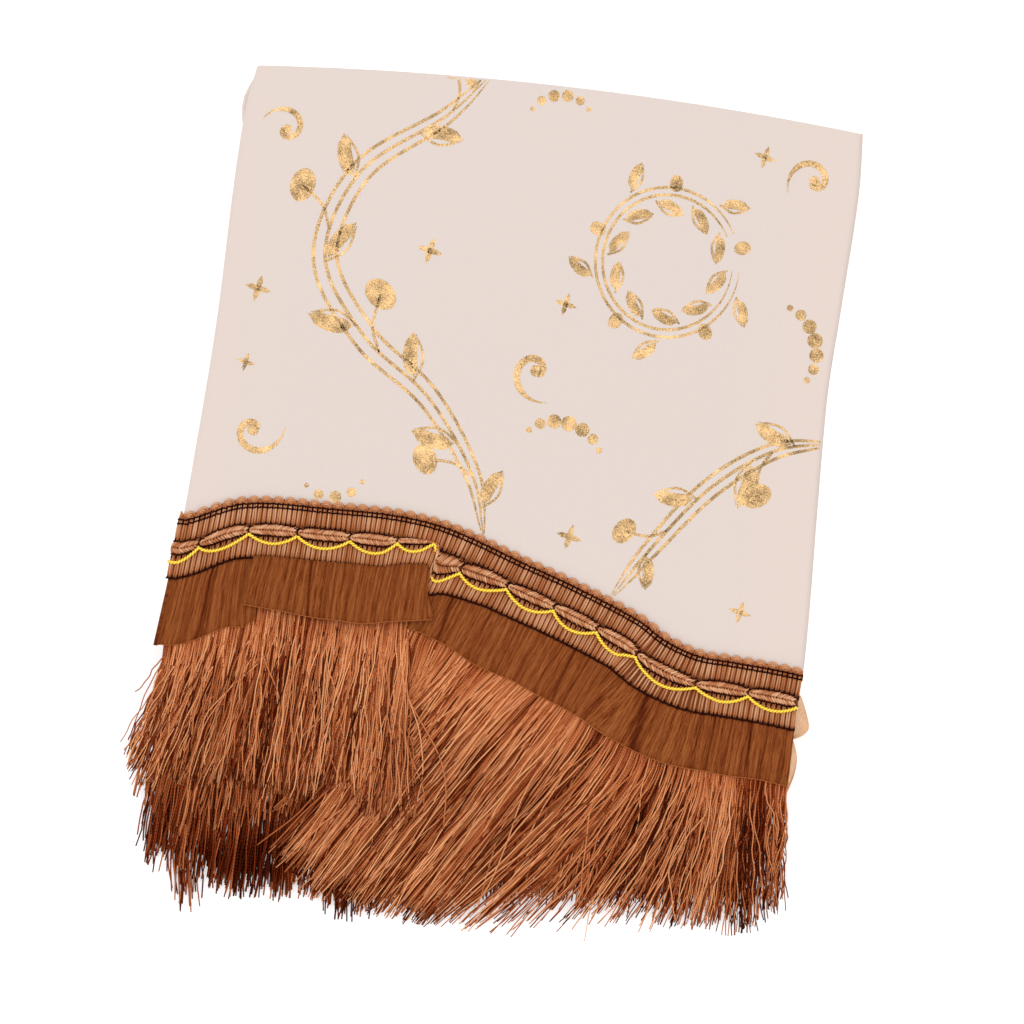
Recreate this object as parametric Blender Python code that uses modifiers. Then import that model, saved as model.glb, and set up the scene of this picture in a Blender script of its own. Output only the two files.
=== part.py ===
"""Piano top cover, folded for keeping: a cream cloth with a trim along its front edge.

The cover is folded in half across, with that fold at +Y, and then back and forth in six panels.
Its front faces up on the top panel. The trim is sewn along the front edge through all the panels:
a braid, a gold cord on the braid, an organza band below it and a fringe behind the band.

Run it with: blender --background --python part.py
Lengths below are in millimetres, and the meshes are in metres with +Z up.
A depth is measured from the top fold down the panel, and an x from the fold's left end.
"""

import math
import random

import bmesh
import bpy
from mathutils import Vector

MM = 0.001
COLLECTION = "piano_top_cover"

# Cloth and folding
PANELS = 6
TOP_PANEL = PANELS - 1
CLOTH = 1.0
GAP = 0.3
LAYER_OFFSET = (CLOTH + GAP) / 2
PANEL_REACH = LAYER_OFFSET + CLOTH / 2
FOLD_BOW = 7.5
FLAT_DEPTH = 170
HEM_DEPTH = 300
HEM_UNDER_BRAID = 8

# Trim, from the cloth's front face outwards and from the picot line downwards
PICOT_DEPTH = HEM_DEPTH - HEM_UNDER_BRAID
PICOT_PITCH = 6.6
PICOT_TIP = -2.7
PICOT_NOTCH = -0.4
BRAID = 1.0
BRAID_CLEARANCE = 0.4
BRAID_OFF = PANEL_REACH + BRAID_CLEARANCE + BRAID / 2
BRAID_DEPTH = 32
PAD_ROWS = ((13.5, 0.0), (16.5, 0.6), (20.0, 0.0), (26.0, 0.0), (BRAID_DEPTH, 0.0))
SCALLOP_PITCH = 27
CORD_RADIUS = 0.6
CORD_OFF = BRAID_OFF + BRAID / 2 + GAP + CORD_RADIUS
CORD_JUNCTION = 18.4
CORD_SAG = 5.4
BAND = 1.0
BAND_OFF = BRAID_OFF
BAND_TOP = BRAID_DEPTH + 3 * GAP
BAND_DEPTH = 61
BAND_ROWS = (BAND_TOP, (BAND_TOP + BAND_DEPTH) / 2, BAND_DEPTH)
# How far each of those rows stands out in the loops at the right turns
BAND_BULGES = (0.0, 9.0, 7.2)
PLEAT_PITCH = BAND + GAP
PLEAT_UNDERLAY = 6.0
PLEAT_EDGES = (26.0, 132.0)
TAPE_TOP = 25
TAPE_DEPTH = 31
STRAND = 1.0
STRAND_OFF = 0.6
STRAND_CLEARANCE = 0.2
STRAND_SEED = 11
# Strands of a panel, the share of their pitch that they fill, and the width at their tips
SHOWN_STRANDS = (80, 0.7, 0.9)
UNDER_STRANDS = (20, 0.66, 4.5)
# A strand drifts sideways with this power of the way down it
DRIFT_POWER = 1.6

# How far the layers reach from a panel's middle: on the front with the trim, and on the back
TRIM_REACH = CORD_OFF + CORD_RADIUS + GAP / 2
STRAND_REACH = STRAND_OFF + STRAND / 2 + STRAND_CLEARANCE
BACK_REACH_BELOW_HEM = 0.2
# The depths between which the stack sinks to its strands alone, on the front and on the back
FALL = (324, 450)
BACK_FALL = (300, 420)

# Outline of the top panel: (depth, x) of its sides and (x, depth) of its picot line
LEFT_SIDE = ((0, 0), (20, -3.5), (60, -5.5), (140, -6.5), (226, -10.8), (246, -12), (280, -15))
RIGHT_SIDE = ((0, 329), (33, 330.5), (95, 328), (141, 326), (188, 327), (283, 329.5), (315, 328))
PICOT_LINE = (
    (-12, 246), (17, 234), (65, 231.5), (104, 231.5), (132.5, 236), (175, 250),
    (201, 258.5), (238, 273), (253, 282), (271, 288), (287, 289), (312, 290.5), (327, 292),
)
TRIM_START = PICOT_LINE[0][0]
TRIM_LENGTH = PICOT_LINE[-1][0] - TRIM_START
# How far the folds below the top one stay inside its sides
LEFT_INSETS = (3.5, 1.5, 0.0)
RIGHT_INSETS = (4.0, 2.5)
# The middle fold shows as a bump of this reach, depth and spread on the left side
LEFT_BUMP = (4.0, 20, 14)
# The trim leans square to the picot line between these x, and less towards both sides
LEAN_FROM = (0, 60)
LEAN_TO = (327, 290)
# The panel under the top one is drawn up to it over this length
HEM_PULL_LENGTH = 120

# Strand tips of the top panel: root x, tip x and tip depth
SHOWN_TIPS = (
    (-14.6, -32, 380), (0, -21, 394), (16, 5.4, 392), (43, 40.6, 384), (108, 98.5, 385),
    (130, 123.4, 399), (146, 132.5, 427), (181, 156, 453), (232.6, 209.4, 441),
    (270.5, 257.5, 433), (303, 295, 433), (320, 320, 432), (328, 333, 419),
)
# Strand tips of the panels under it: root x, tip x and tip depth
UNDER_TIPS = (
    (-15, -16, 432), (10, 6, 455), (40, 34, 447), (95, 90, 453), (130, 124, 440),
    (200, 195, 433), (328, 322, 429),
)
# How far a tip may lie from its curve: across, then down from and to
SHOWN_STRAY = (0.25, -7, 3)
UNDER_STRAY = (0.8, -5, 4)
# Each deeper panel's tips lie this much further up
UNDER_STAGGER = 1.5

# Mesh steps
CLOTH_ROWS = (60, 120, FLAT_DEPTH, 190, 208, 226, 244, 262, 280, HEM_DEPTH)
FOLD_STEPS = 4
TURN_STEPS = 5
UNDER_STEPS = (1, 1, 1, 1, 9)
SHOWN_STEPS = 14
SHOWN_STRAND_STEPS = (0.45, 1.0)
UNDER_STRAND_STEPS = (1.0,)
# The band's columns on the top panel: left of the pleat, on it and right of it
LEFT_COLUMNS = (TRIM_START, -6, 0, 6, 12, 18)
PLEAT_COLUMNS = range(40, 125, 12)
RIGHT_COLUMNS = (*range(142, 320, 11), TRIM_START + TRIM_LENGTH)


def smooth_share(start, end, value):
    """0 before the start, 1 after the end, and an even S between them."""
    share = min(max((value - start) / (end - start), 0.0), 1.0)
    return share * share * (3 - 2 * share)


def curve_through(table, at, column=1):
    """A smooth curve through a table's first column and another one, level outside it."""
    if at <= table[0][0]:
        return table[0][column]
    if at >= table[-1][0]:
        return table[-1][column]
    right = next(i for i, row in enumerate(table) if row[0] >= at)
    left = right - 1

    def slope(i):
        before = table[max(i - 1, 0)]
        after = table[min(i + 1, len(table) - 1)]
        return (after[column] - before[column]) / (after[0] - before[0])

    width = table[right][0] - table[left][0]
    t = (at - table[left][0]) / width
    return (
        table[left][column] * (2 * t**3 - 3 * t**2 + 1)
        + slope(left) * width * (t**3 - 2 * t**2 + t)
        + table[right][column] * (3 * t**2 - 2 * t**3)
        + slope(right) * width * (t**3 - t**2)
    )


def front_reach(depth):
    """Half the pitch of two panels that face each other with their fronts."""
    reach = PANEL_REACH + GAP / 2
    reach += (TRIM_REACH - reach) * smooth_share(FLAT_DEPTH, HEM_DEPTH, depth)
    return reach + (STRAND_REACH - TRIM_REACH) * smooth_share(*FALL, depth)


def back_reach(depth):
    """Half the pitch of two panels that face each other with their backs."""
    reach = PANEL_REACH + GAP / 2
    return reach + (BACK_REACH_BELOW_HEM - reach) * smooth_share(*BACK_FALL, depth)


def front_is_up(panel):
    return panel % 2 == 1


def panel_height(panel, depth):
    """Height of a panel's middle above the surface that the stack lies on."""
    height = front_reach(depth) - GAP / 2
    for below in range(panel):
        height += 2 * (front_reach(depth) if front_is_up(below) else back_reach(depth))
    return height


def turn(panel, depth):
    """Side, x, height and radius of the turn that follows a panel."""
    low = panel_height(panel, depth)
    high = panel_height(panel + 1, depth)
    radius = (high - low) / 2
    which = panel // 2
    if front_is_up(panel):
        x = curve_through(RIGHT_SIDE, depth) - RIGHT_INSETS[which] - radius - PANEL_REACH
        return 1, x, (low + high) / 2, radius
    reach, middle, spread = LEFT_BUMP
    bump = reach * math.exp(-(((depth - middle) / spread) ** 2)) if which == 1 else 0
    x = curve_through(LEFT_SIDE, depth) + LEFT_INSETS[which] - bump + radius + PANEL_REACH
    return -1, x, (low + high) / 2, radius


def panel_end(panel, depth):
    """The x where a panel ends, for -1 the one where the first panel starts."""
    if panel in (-1, TOP_PANEL):
        return curve_through(RIGHT_SIDE, depth) - (0 if panel == TOP_PANEL else RIGHT_INSETS[0])
    return turn(panel, depth)[1]


def place(station, depth, off, lean=0.0, swell=0.0):
    """A point of the folded cover, in metres.

    A station is a panel with a share along it and no angle, or the turn after it with an angle.
    The off value is the distance from the panel's middle to its back, negative to its front.
    """
    panel, share, angle = station
    if angle is None:
        start = panel_end(panel - 1, depth)
        x = start + (panel_end(panel, depth) - start) * share + lean
        z = panel_height(panel, depth) + (-off if front_is_up(panel) else off)
    else:
        side, middle_x, middle_z, radius = turn(panel, depth)
        radius += off if front_is_up(panel) else -off
        x = middle_x + side * (radius + swell) * math.sin(angle)
        z = middle_z - radius * math.cos(angle)
    across = 2 * x / RIGHT_SIDE[0][1] - 1
    bow = FOLD_BOW * max(1 - across**2, 0) * max(1 - depth / FLAT_DEPTH, 0)
    return Vector((x, bow - depth, z)) * MM


def stations(shares_of_top):
    """The stations from the free end of the bottom panel to that of the top panel."""
    found = []
    for panel in range(PANELS):
        shares = shares_of_top if panel == TOP_PANEL else even_shares(UNDER_STEPS[panel])
        found += [(panel, share, None) for share in shares]
        if panel < TOP_PANEL:
            found += [(panel, 1.0, math.pi * i / TURN_STEPS) for i in range(1, TURN_STEPS)]
    return found


def even_shares(steps):
    return [i / steps for i in range(steps + 1)]


def top_x(share):
    """The x on the picot line of a share along the top panel."""
    return TRIM_START + TRIM_LENGTH * share


def top_share(x):
    return (x - TRIM_START) / TRIM_LENGTH


def picot_depth(station):
    """Depth of the picot line: level under the top panel, and drawn up towards its left side."""
    panel, share, angle = station
    if panel == TOP_PANEL:
        return curve_through(PICOT_LINE, top_x(share))
    if panel < TOP_PANEL - 1:
        return PICOT_DEPTH
    drawn_up = PICOT_LINE[0][1] - PICOT_DEPTH
    from_end = 0 if angle is not None else (1 - share) * TRIM_LENGTH
    return PICOT_DEPTH + drawn_up * smooth_share(HEM_PULL_LENGTH, 0, from_end)


def trim_point(station, down, off, swell=0.0):
    """A point of the trim: a distance down from the picot line, square to it on the top panel."""
    depth = picot_depth(station)
    panel, share, _ = station
    lean = 0.0
    stretch = 1.0
    if panel == TOP_PANEL:
        x = top_x(share)
        rise = curve_through(PICOT_LINE, x + 1) - curve_through(PICOT_LINE, x - 1)
        angle = math.atan2(rise, 2)
        lean = -math.sin(angle) * smooth_share(*LEAN_FROM, x) * smooth_share(*LEAN_TO, x)
        stretch = (1 + math.sin(angle) * lean) / math.cos(angle)
    return place(station, depth + down * stretch, -off, lean * down, swell)


def material(name, colour, roughness, metallic=0.0):
    made = bpy.data.materials.new(name)
    made.use_nodes = True
    shader = made.node_tree.nodes["Principled BSDF"]
    shader.inputs["Base Color"].default_value = (*colour, 1.0)
    shader.inputs["Roughness"].default_value = roughness
    shader.inputs["Metallic"].default_value = metallic
    return made


def add_object(name, data, look, collection):
    made = bpy.data.objects.new(name, data)
    data.materials.append(look)
    collection.objects.link(made)
    return made


def thicken(obj, thickness):
    solidify = obj.modifiers.new("Thickness", "SOLIDIFY")
    solidify.thickness = thickness * MM
    solidify.offset = 0
    solidify.use_even_offset = True
    solidify.use_quality_normals = True


def grid_of(columns):
    """A bmesh grid whose vertices are the points of the columns."""
    mesh = bmesh.new()
    rows = len(columns[0])
    bmesh.ops.create_grid(mesh, x_segments=rows - 1, y_segments=len(columns) - 1, size=1)
    mesh.verts.ensure_lookup_table()
    points = [point for column in columns for point in column]
    for vertex, point in zip(mesh.verts, points, strict=True):
        vertex.co = point
    return mesh


def add_sheet(name, mesh, thickness, look, collection):
    data = bpy.data.meshes.new(name)
    bmesh.ops.recalc_face_normals(mesh, faces=mesh.faces)
    mesh.to_mesh(data)
    mesh.free()
    obj = add_object(name, data, look, collection)
    thicken(obj, thickness)
    return obj


def cloth_section(hem):
    """(depth, off) down the back, from the hem over the top fold and down the front to the hem."""
    side = []
    for row in CLOTH_ROWS:
        below = max(row - FLAT_DEPTH, 0) * (hem - FLAT_DEPTH) / (HEM_DEPTH - FLAT_DEPTH)
        side.append(min(row, FLAT_DEPTH) + below)
    section = [(depth, LAYER_OFFSET) for depth in reversed(side)]
    for step in range(FOLD_STEPS + 1):
        angle = math.pi * step / FOLD_STEPS
        section.append((PANEL_REACH - LAYER_OFFSET * math.sin(angle), LAYER_OFFSET * math.cos(angle)))
    return section + [(depth, -LAYER_OFFSET) for depth in side]


def build_cloth(look, collection):
    columns = []
    for station in stations(even_shares(SHOWN_STEPS)):
        section = cloth_section(picot_depth(station) + HEM_UNDER_BRAID)
        columns.append([place(station, depth, off) for depth, off in section])
    return add_sheet("cover_cloth", grid_of(columns), CLOTH, look, collection)


def build_braid(look, collection):
    """The picots are the zigzag of the top row, and the leaf pads a raised row."""
    shares = even_shares(2 * round(TRIM_LENGTH / PICOT_PITCH))
    columns = []
    for index, station in enumerate(stations(shares)):
        panel, share, _ = station
        shown = panel == TOP_PANEL
        top = PICOT_TIP if shown and index % 2 else PICOT_NOTCH
        column = [trim_point(station, top, BRAID_OFF)]
        swell = abs(math.sin(math.pi * share * TRIM_LENGTH / SCALLOP_PITCH)) if shown else 0
        column += [trim_point(station, down, BRAID_OFF + pad * swell) for down, pad in PAD_ROWS]
        columns.append(column)
    return add_sheet("braid", grid_of(columns), BRAID, look, collection)


def build_gold_cord(look, collection):
    """Scallops that hang from the pinched ends of the leaf pads."""
    scallops = round(TRIM_LENGTH / SCALLOP_PITCH)
    path = []
    for panel in range(PANELS):
        points = 4 if panel == TOP_PANEL else 2
        for step in range(points * scallops + 1):
            share = step / (points * scallops)
            hang = CORD_SAG * math.sin(math.pi * (step % points) / points)
            path.append(trim_point((panel, share, None), CORD_JUNCTION + hang, CORD_OFF))
        for step in range(1, TURN_STEPS):
            if panel < TOP_PANEL:
                station = (panel, 1.0, math.pi * step / TURN_STEPS)
                path.append(trim_point(station, CORD_JUNCTION, CORD_OFF))
    curve = bpy.data.curves.new("gold_cord", "CURVE")
    curve.dimensions = "3D"
    curve.bevel_depth = CORD_RADIUS * MM
    curve.bevel_resolution = 0
    curve.use_fill_caps = True
    spline = curve.splines.new("POLY")
    spline.points.add(len(path) - 1)
    for point, place_of_it in zip(spline.points, path, strict=True):
        point.co = (*place_of_it, 1.0)
    return add_object("gold_cord", curve, look, collection)


def pleated_columns():
    """(x, lift) across the top panel's band: its middle lies over both of its neighbours."""
    bend = PLEAT_PITCH / 2
    left, right = PLEAT_EDGES
    inner = left + PLEAT_UNDERLAY
    outer = right - PLEAT_UNDERLAY
    path = [(x, 0) for x in LEFT_COLUMNS]
    path += [(inner - bend, 0), (inner, bend), (inner - bend, 2 * bend)]
    path += [(left + bend, 2 * bend), (left, 3 * bend), (left + bend, 4 * bend)]
    path += [(x, 4 * bend) for x in PLEAT_COLUMNS]
    path += [(right - bend, 4 * bend), (right, 3 * bend), (right - bend, 2 * bend)]
    path += [(outer + bend, 2 * bend), (outer, bend), (outer + bend, 0)]
    return path + [(x, 0) for x in RIGHT_COLUMNS]


def build_band(look, collection):
    columns = []
    for station in stations([]):
        panel, _, angle = station
        in_loop = angle is not None and front_is_up(panel)
        rows = zip(BAND_ROWS, BAND_BULGES, strict=True)
        columns.append(
            [trim_point(station, down, BAND_OFF, bulge if in_loop else 0.0) for down, bulge in rows]
        )
    for x, lift in pleated_columns():
        station = (TOP_PANEL, top_share(x), None)
        columns.append([trim_point(station, down, BAND_OFF + lift) for down in BAND_ROWS])
    return add_sheet("organza_band", grid_of(columns), BAND, look, collection)


def strand_shares(count, fill):
    """Shares along a panel where its strands begin and end, with gaps between them."""
    shares = []
    for strand in range(count):
        middle = (strand + 0.5) / count
        shares += [middle - fill / 2 / count, middle + fill / 2 / count]
    return shares


def fringe_stations():
    """The tape's stations, and for each strand its first station's place in that list."""
    found = []
    strands = []
    for panel in range(PANELS):
        shown = panel == TOP_PANEL
        count, fill, _ = SHOWN_STRANDS if shown else UNDER_STRANDS
        found.append((panel, 0.0, None))
        for index, share in enumerate(strand_shares(count, fill)):
            if index % 2 == 0:
                strands.append(len(found))
            found.append((panel, share, None))
        found.append((panel, 1.0, None))
        if not shown:
            found += [(panel, 1.0, math.pi * i / TURN_STEPS) for i in range(1, TURN_STEPS)]
    return found, strands


def strand_tip(panel, share, chance):
    """Tip x and depth of a strand, and the width that is left there."""
    shown = panel == TOP_PANEL
    table = SHOWN_TIPS if shown else UNDER_TIPS
    across, shortest, longest = SHOWN_STRAY if shown else UNDER_STRAY
    width = (SHOWN_STRANDS if shown else UNDER_STRANDS)[2]
    x = top_x(share if front_is_up(panel) else 1 - share)
    tip_x = curve_through(table, x, 1) + chance.uniform(-across, across)
    tip_depth = curve_through(table, x, 2) + chance.uniform(shortest, longest)
    return tip_x, tip_depth - (0 if shown else UNDER_STAGGER * panel), width


def build_fringe(look, collection):
    """One comb: a tape along the whole trim, and a tapering strand from each of its teeth."""
    chance = random.Random(STRAND_SEED)
    found, strands = fringe_stations()
    columns = [[trim_point(s, down, STRAND_OFF) for down in (TAPE_TOP, TAPE_DEPTH)] for s in found]
    mesh = grid_of(columns)
    mesh.verts.ensure_lookup_table()
    roots = [(first, mesh.verts[2 * first + 1], mesh.verts[2 * first + 3]) for first in strands]
    for first, *ends in roots:
        panel, share, _ = found[first]
        edge = mesh.edges.get(ends)
        root = [end.co / MM for end in ends]
        tip_x, tip_depth, tip_width = strand_tip(panel, share, chance)
        root_x = (root[0].x + root[1].x) / 2
        root_depth = -(root[0].y + root[1].y) / 2
        root_width = root[1].x - root[0].x
        side = math.copysign(1, root_width)
        steps = [(down - TAPE_DEPTH) / (tip_depth - root_depth) for down in BAND_ROWS[1:]]
        at_band_edge = steps[-1]
        past_band = SHOWN_STRAND_STEPS if panel == TOP_PANEL else UNDER_STRAND_STEPS
        steps += [at_band_edge + (1 - at_band_edge) * part for part in past_band]
        for step in steps:
            made = bmesh.ops.extrude_edge_only(mesh, edges=[edge])["geom"]
            edge = next(item for item in made if isinstance(item, bmesh.types.BMEdge))
            depth = root_depth + (tip_depth - root_depth) * step
            x = root_x + (tip_x - root_x) * step**DRIFT_POWER
            half = (abs(root_width) + (tip_width - abs(root_width)) * step) / 2
            z = place((panel, share, None), depth, -STRAND_OFF).z
            for vertex in edge.verts:
                was_first = (vertex.co - ends[0].co).length < (vertex.co - ends[1].co).length
                vertex.co = Vector((x - side * half if was_first else x + side * half, -depth, z / MM)) * MM
            ends = sorted(edge.verts, key=lambda vertex: side * vertex.co.x)
    return add_sheet("fringe", mesh, STRAND, look, collection)


def centre_on_origin(objects):
    """Moves the parts so that the middle of their shared box's bottom is at the origin."""
    bpy.context.view_layer.update()
    graph = bpy.context.evaluated_depsgraph_get()
    corners = []
    for obj in objects:
        evaluated = obj.evaluated_get(graph)
        corners += [obj.matrix_world @ vertex.co for vertex in evaluated.to_mesh().vertices]
        evaluated.to_mesh_clear()
    shift = Vector()
    for axis in (0, 1):
        values = [corner[axis] for corner in corners]
        shift[axis] = -(min(values) + max(values)) / 2
    for obj in objects:
        obj.location = shift
    print("moved by", tuple(round(value, 5) for value in shift))


def main():
    for obj in list(bpy.data.objects):
        bpy.data.objects.remove(obj, do_unlink=True)
    collection = bpy.data.collections.new(COLLECTION)
    bpy.context.scene.collection.children.link(collection)
    objects = [
        build_cloth(material("cover_fabric", (0.84, 0.73, 0.67), 0.85), collection),
        build_braid(material("braid_yarn", (0.43, 0.17, 0.076), 0.8), collection),
        build_gold_cord(material("gold_thread", (0.83, 0.48, 0.02), 0.35, 1.0), collection),
        build_band(material("organza", (0.21, 0.062, 0.016), 0.6), collection),
        build_fringe(material("fringe_yarn", (0.31, 0.1, 0.038), 0.5), collection),
    ]
    centre_on_origin(objects)


main()
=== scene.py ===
"""The looks of a folded piano top cover: cream cloth, gold foil print, braid, gold cord, organza and fringe.

It is laid out as a Blender add-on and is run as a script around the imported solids.
Lengths in the tables and sums are millimetres; the meshes are in metres with +Z up.
A depth is measured from the top fold down the panel, and an x from the fold's left end.
"""

import functools
import math
import random

import bmesh
import bpy
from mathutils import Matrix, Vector


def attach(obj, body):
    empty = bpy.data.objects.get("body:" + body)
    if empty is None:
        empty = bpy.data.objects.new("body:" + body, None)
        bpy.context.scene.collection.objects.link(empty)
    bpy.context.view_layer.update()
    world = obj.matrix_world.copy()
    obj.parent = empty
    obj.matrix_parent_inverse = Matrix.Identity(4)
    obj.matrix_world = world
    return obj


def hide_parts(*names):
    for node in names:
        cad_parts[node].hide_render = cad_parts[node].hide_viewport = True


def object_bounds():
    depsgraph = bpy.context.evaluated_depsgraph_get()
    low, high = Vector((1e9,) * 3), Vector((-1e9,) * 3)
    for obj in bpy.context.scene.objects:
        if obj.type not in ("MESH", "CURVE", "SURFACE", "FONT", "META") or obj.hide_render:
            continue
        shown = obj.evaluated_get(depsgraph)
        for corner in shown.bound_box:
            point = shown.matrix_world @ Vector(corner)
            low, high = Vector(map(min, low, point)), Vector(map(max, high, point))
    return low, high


bl_info = {
    "name": "Folded piano top cover",
    "version": (1, 0, 0),
    "blender": (4, 5, 0),
    "location": "3D View > Sidebar > Cover",
    "description": "Dresses the folded cover's solids with cloth, trim, print and fringe",
    "category": "Object",
}

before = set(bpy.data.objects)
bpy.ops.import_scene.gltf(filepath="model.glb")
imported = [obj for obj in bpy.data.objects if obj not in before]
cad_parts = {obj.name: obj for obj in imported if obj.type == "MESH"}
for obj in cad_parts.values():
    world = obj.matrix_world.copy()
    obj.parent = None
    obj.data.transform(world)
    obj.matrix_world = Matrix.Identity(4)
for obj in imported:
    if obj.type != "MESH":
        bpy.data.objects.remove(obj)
CAD_BOX = [list(corner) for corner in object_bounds()]
MM = 0.001
BODY = "root"

# The fold, as the solids have it
PANELS = 6
TOP_PANEL = PANELS - 1
GAP = 0.3
LAYER_OFFSET = 0.65
PANEL_REACH = 1.15
FOLD_BOW = 7.5
FLAT_DEPTH = 170
HEM_DEPTH = 300
HEM_UNDER_BRAID = 8
PICOT_DEPTH = HEM_DEPTH - HEM_UNDER_BRAID
BRAID_OFF = 2.05
BRAID_DEPTH = 32
CORD_OFF = 3.45
TRIM_REACH = 4.2
STRAND_OFF = 0.6
STRAND_REACH = 1.3
BACK_REACH_BELOW_HEM = 0.2
FALL = (324, 450)
BACK_FALL = (300, 420)
LEFT_SIDE = ((0, 0), (20, -3.5), (60, -5.5), (140, -6.5), (226, -10.8), (246, -12), (280, -15))
RIGHT_SIDE = ((0, 329), (33, 330.5), (95, 328), (141, 326), (188, 327), (283, 329.5), (315, 328))
PICOT_LINE = (
    (-12, 246), (17, 234), (65, 231.5), (104, 231.5), (132.5, 236), (175, 250),
    (201, 258.5), (238, 273), (253, 282), (271, 288), (287, 289), (312, 290.5), (327, 292),
)
LEFT_INSETS = (3.5, 1.5, 0.0)
LEFT_BUMP = 4.0
RIGHT_INSETS = (4.0, 2.5)
HEM_PULL_LENGTH = 120
SHOWN_LENGTH = PICOT_LINE[-1][0] - PICOT_LINE[0][0]
# Where the fold's left end and top lie in the frame
SHIFT = Vector((-150.56, 225.48, 0))

# Rows of the braid, down from the picot line
STITCH_ROWS = (2.2, 4.3, 13.2, 19.6, 31.6)
PAD_MIDDLE = 16.4
PAD_HALF = 3.1
PICOT_PITCH = 6.6
RIB_PITCH = 2.7
CORD_JUNCTION = 18.4
# Where two pads meet, along the top panel
JUNCTIONS = (
    -27.0, -2.7, 21.6, 48.2, 76.3, 103.3, 124.5, 144.5, 170.0, 196.4, 221.3, 247.2, 273.7, 301.0, 327.8,
)
# How far the trim's lower half lies off its even course beside the pleat
LOWER_SHIFT = ((96, 0), (118, -5.5), (127, -5), (129.5, 6.5), (142, 3.5), (165, 0))
PLEAT_EDGES = (26.0, 132.0)
PLEAT_UNDERLAY = 6.0
PLEAT_PITCH = 1.3
BAND_TOP = 30.6
# The organza's lower edge on the top panel: left of the pleat, on the pleat and right of it
LEFT_EDGE = ((-12, 65.5), (5, 67), (30, 69.5))
PLEAT_EDGE = ((20, 56), (53, 60.5), (96, 61), (132, 52.7))
RIGHT_EDGE = ((124, 60), (155, 59), (172, 62), (327, 62))
# How far down from the picot line the strands come out under the organza
STRAND_ROW = 30
BAND_ROW = 61

# Strand tips by root x: tip x, tip depth and a power that says how late the strand drifts there
PLEAT_TIPS = (
    (-12, -28, 378, 1.5), (0, -19, 393, 1.4), (16, 5.4, 392, 1.4), (30, 22, 387, 1.3), (43, 40.6, 386, 1.3),
    (60, 58, 394, 1.2), (80, 76, 386, 1.3), (108, 98.5, 388, 1.3), (130, 120, 400, 1.4),
)
SWEPT_TIPS = (
    (131, 113, 402, 1.4), (136, 97, 413, 1.4), (142, 80, 420, 1.3), (150, 66, 423, 1.2), (158, 59, 426, 1.1),
    (166, 73, 434, 1.0), (174, 84, 440, 0.95), (199, 100.8, 446, 0.9),
    (223, 128.3, 449, 1.0), (252.5, 150.4, 451, 1.2), (264, 183, 450, 1.4), (270.5, 214.8, 443, 1.4),
    (275.5, 241.6, 440, 1.5), (281, 266, 439, 1.5), (294, 285, 438, 1.5), (304, 300, 436.5, 1.5),
    (314, 314, 431, 1.5), (321, 327, 421, 1.5), (328, 331, 417, 1.5),
)
MIDDLE_TIPS = (
    (-15, -18, 404, 1.2), (0, -7, 411, 1.2), (22, 15, 414, 1.2), (48, 42, 409, 1.2), (70, 62, 402, 1.2),
    (95, 86, 397, 1.2), (130, 100, 422, 1.2), (200, 190, 430, 1.2), (328, 319, 421, 1.2),
)
LOW_TIPS = (
    (-15, -11, 427, 1.2), (0, -6, 438, 1.2), (12, 9, 438, 1.2), (28, 25, 447, 1.2), (45, 43, 449, 1.2),
    (67, 67, 448, 1.2), (80, 81, 445, 1.2), (90, 91, 453, 1.2), (104, 104, 455, 1.2), (115, 110, 446, 1.2),
    (135, 134, 442, 1.2), (200, 195, 434, 1.2), (328, 316, 424, 1.2),
)
# For each panel below the top one: its tips, how much further its strands reach, and their tone, darker for
# the lower panels as painted shade
UNDER_LAYERS = (
    (LOW_TIPS, -9, 0.24), (LOW_TIPS, -5, 0.26), (LOW_TIPS, -2, 0.29), (LOW_TIPS, 0, 0.32),
    (MIDDLE_TIPS, 0, 0.47),
)

# The first and last x of the trim on the top panel
TRIM_START = PICOT_LINE[0][0]
TRIM_END = PICOT_LINE[-1][0]
# How far the braid's shown pieces go on round the last turn, and that turn's radius out to the braid
WRAP_START = TRIM_START - 5.5
TURN_REACH = 3.6
# Rows of the cloth from its fold to its hem, and steps round the fold
CLOTH_ROWS = 56
FOLD_STEPS = 8

# Rows of upright yarns in the braid, from and to, and their radius in metres
RIB_ROWS = ((0.4, 13.0), (19.4, 31.4))
RIB_RADIUS = 0.00056
# The yarns of a picot: reach, half width, and radius in metres
PICOT_YARNS = ((2.9, 2.75, 0.00072), (1.7, 1.55, 0.00072), (0.5, 0.5, 0.0007))
# The tufts of a pad: how far apart, and their radius in metres
PAD_PITCH = 1.45
PAD_YARN_RADIUS = 0.00074
# By row of stitches: its dip where two pads meet, and the start and end of its ticks
STITCH_DIPS = {2: 2.0, 3: -1.4}
STITCH_TICKS = {1: (-2.3, 0.6), 2: (-1.3, 1.0), 3: (-0.9, 2.0), 4: (-1.6, 0.3)}
# Radius in metres of a stitch, of a tick and of the stitch between two pads
STITCH_RADII = (0.00055, 0.00045, 0.0005)
# Where the shown cord dives behind the braid at the pleat's edge: x, width and depth
CORD_DIVE = (128.3, 1.5, 3.2)
# The shown cord and the one below it: sides of a thread, and the length of a turn of its twist
CORD_SHOWN = (7, 3.6)
CORD_UNDER = (3, 6.0)

# Creases of the organza on the top panel, sunk in and darkened with painted shade: x, width and lean
BAND_CREASES = (
    (7, 0.8, -2), (58, 0.7, 2), (147, 0.9, 3), (216, 0.8, 2), (258, 1.3, 4), (286, 1.0, -2), (305, 0.8, 2),
)
# How far the pleat's lower corners spread to the left and to the right
PLEAT_FLARE = (3.0, 8.0)
# How far the band's lower corner spreads at the cover's left side
LEFT_FLARE = 4.5
SELVEDGE_RADIUS = 0.00026
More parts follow.
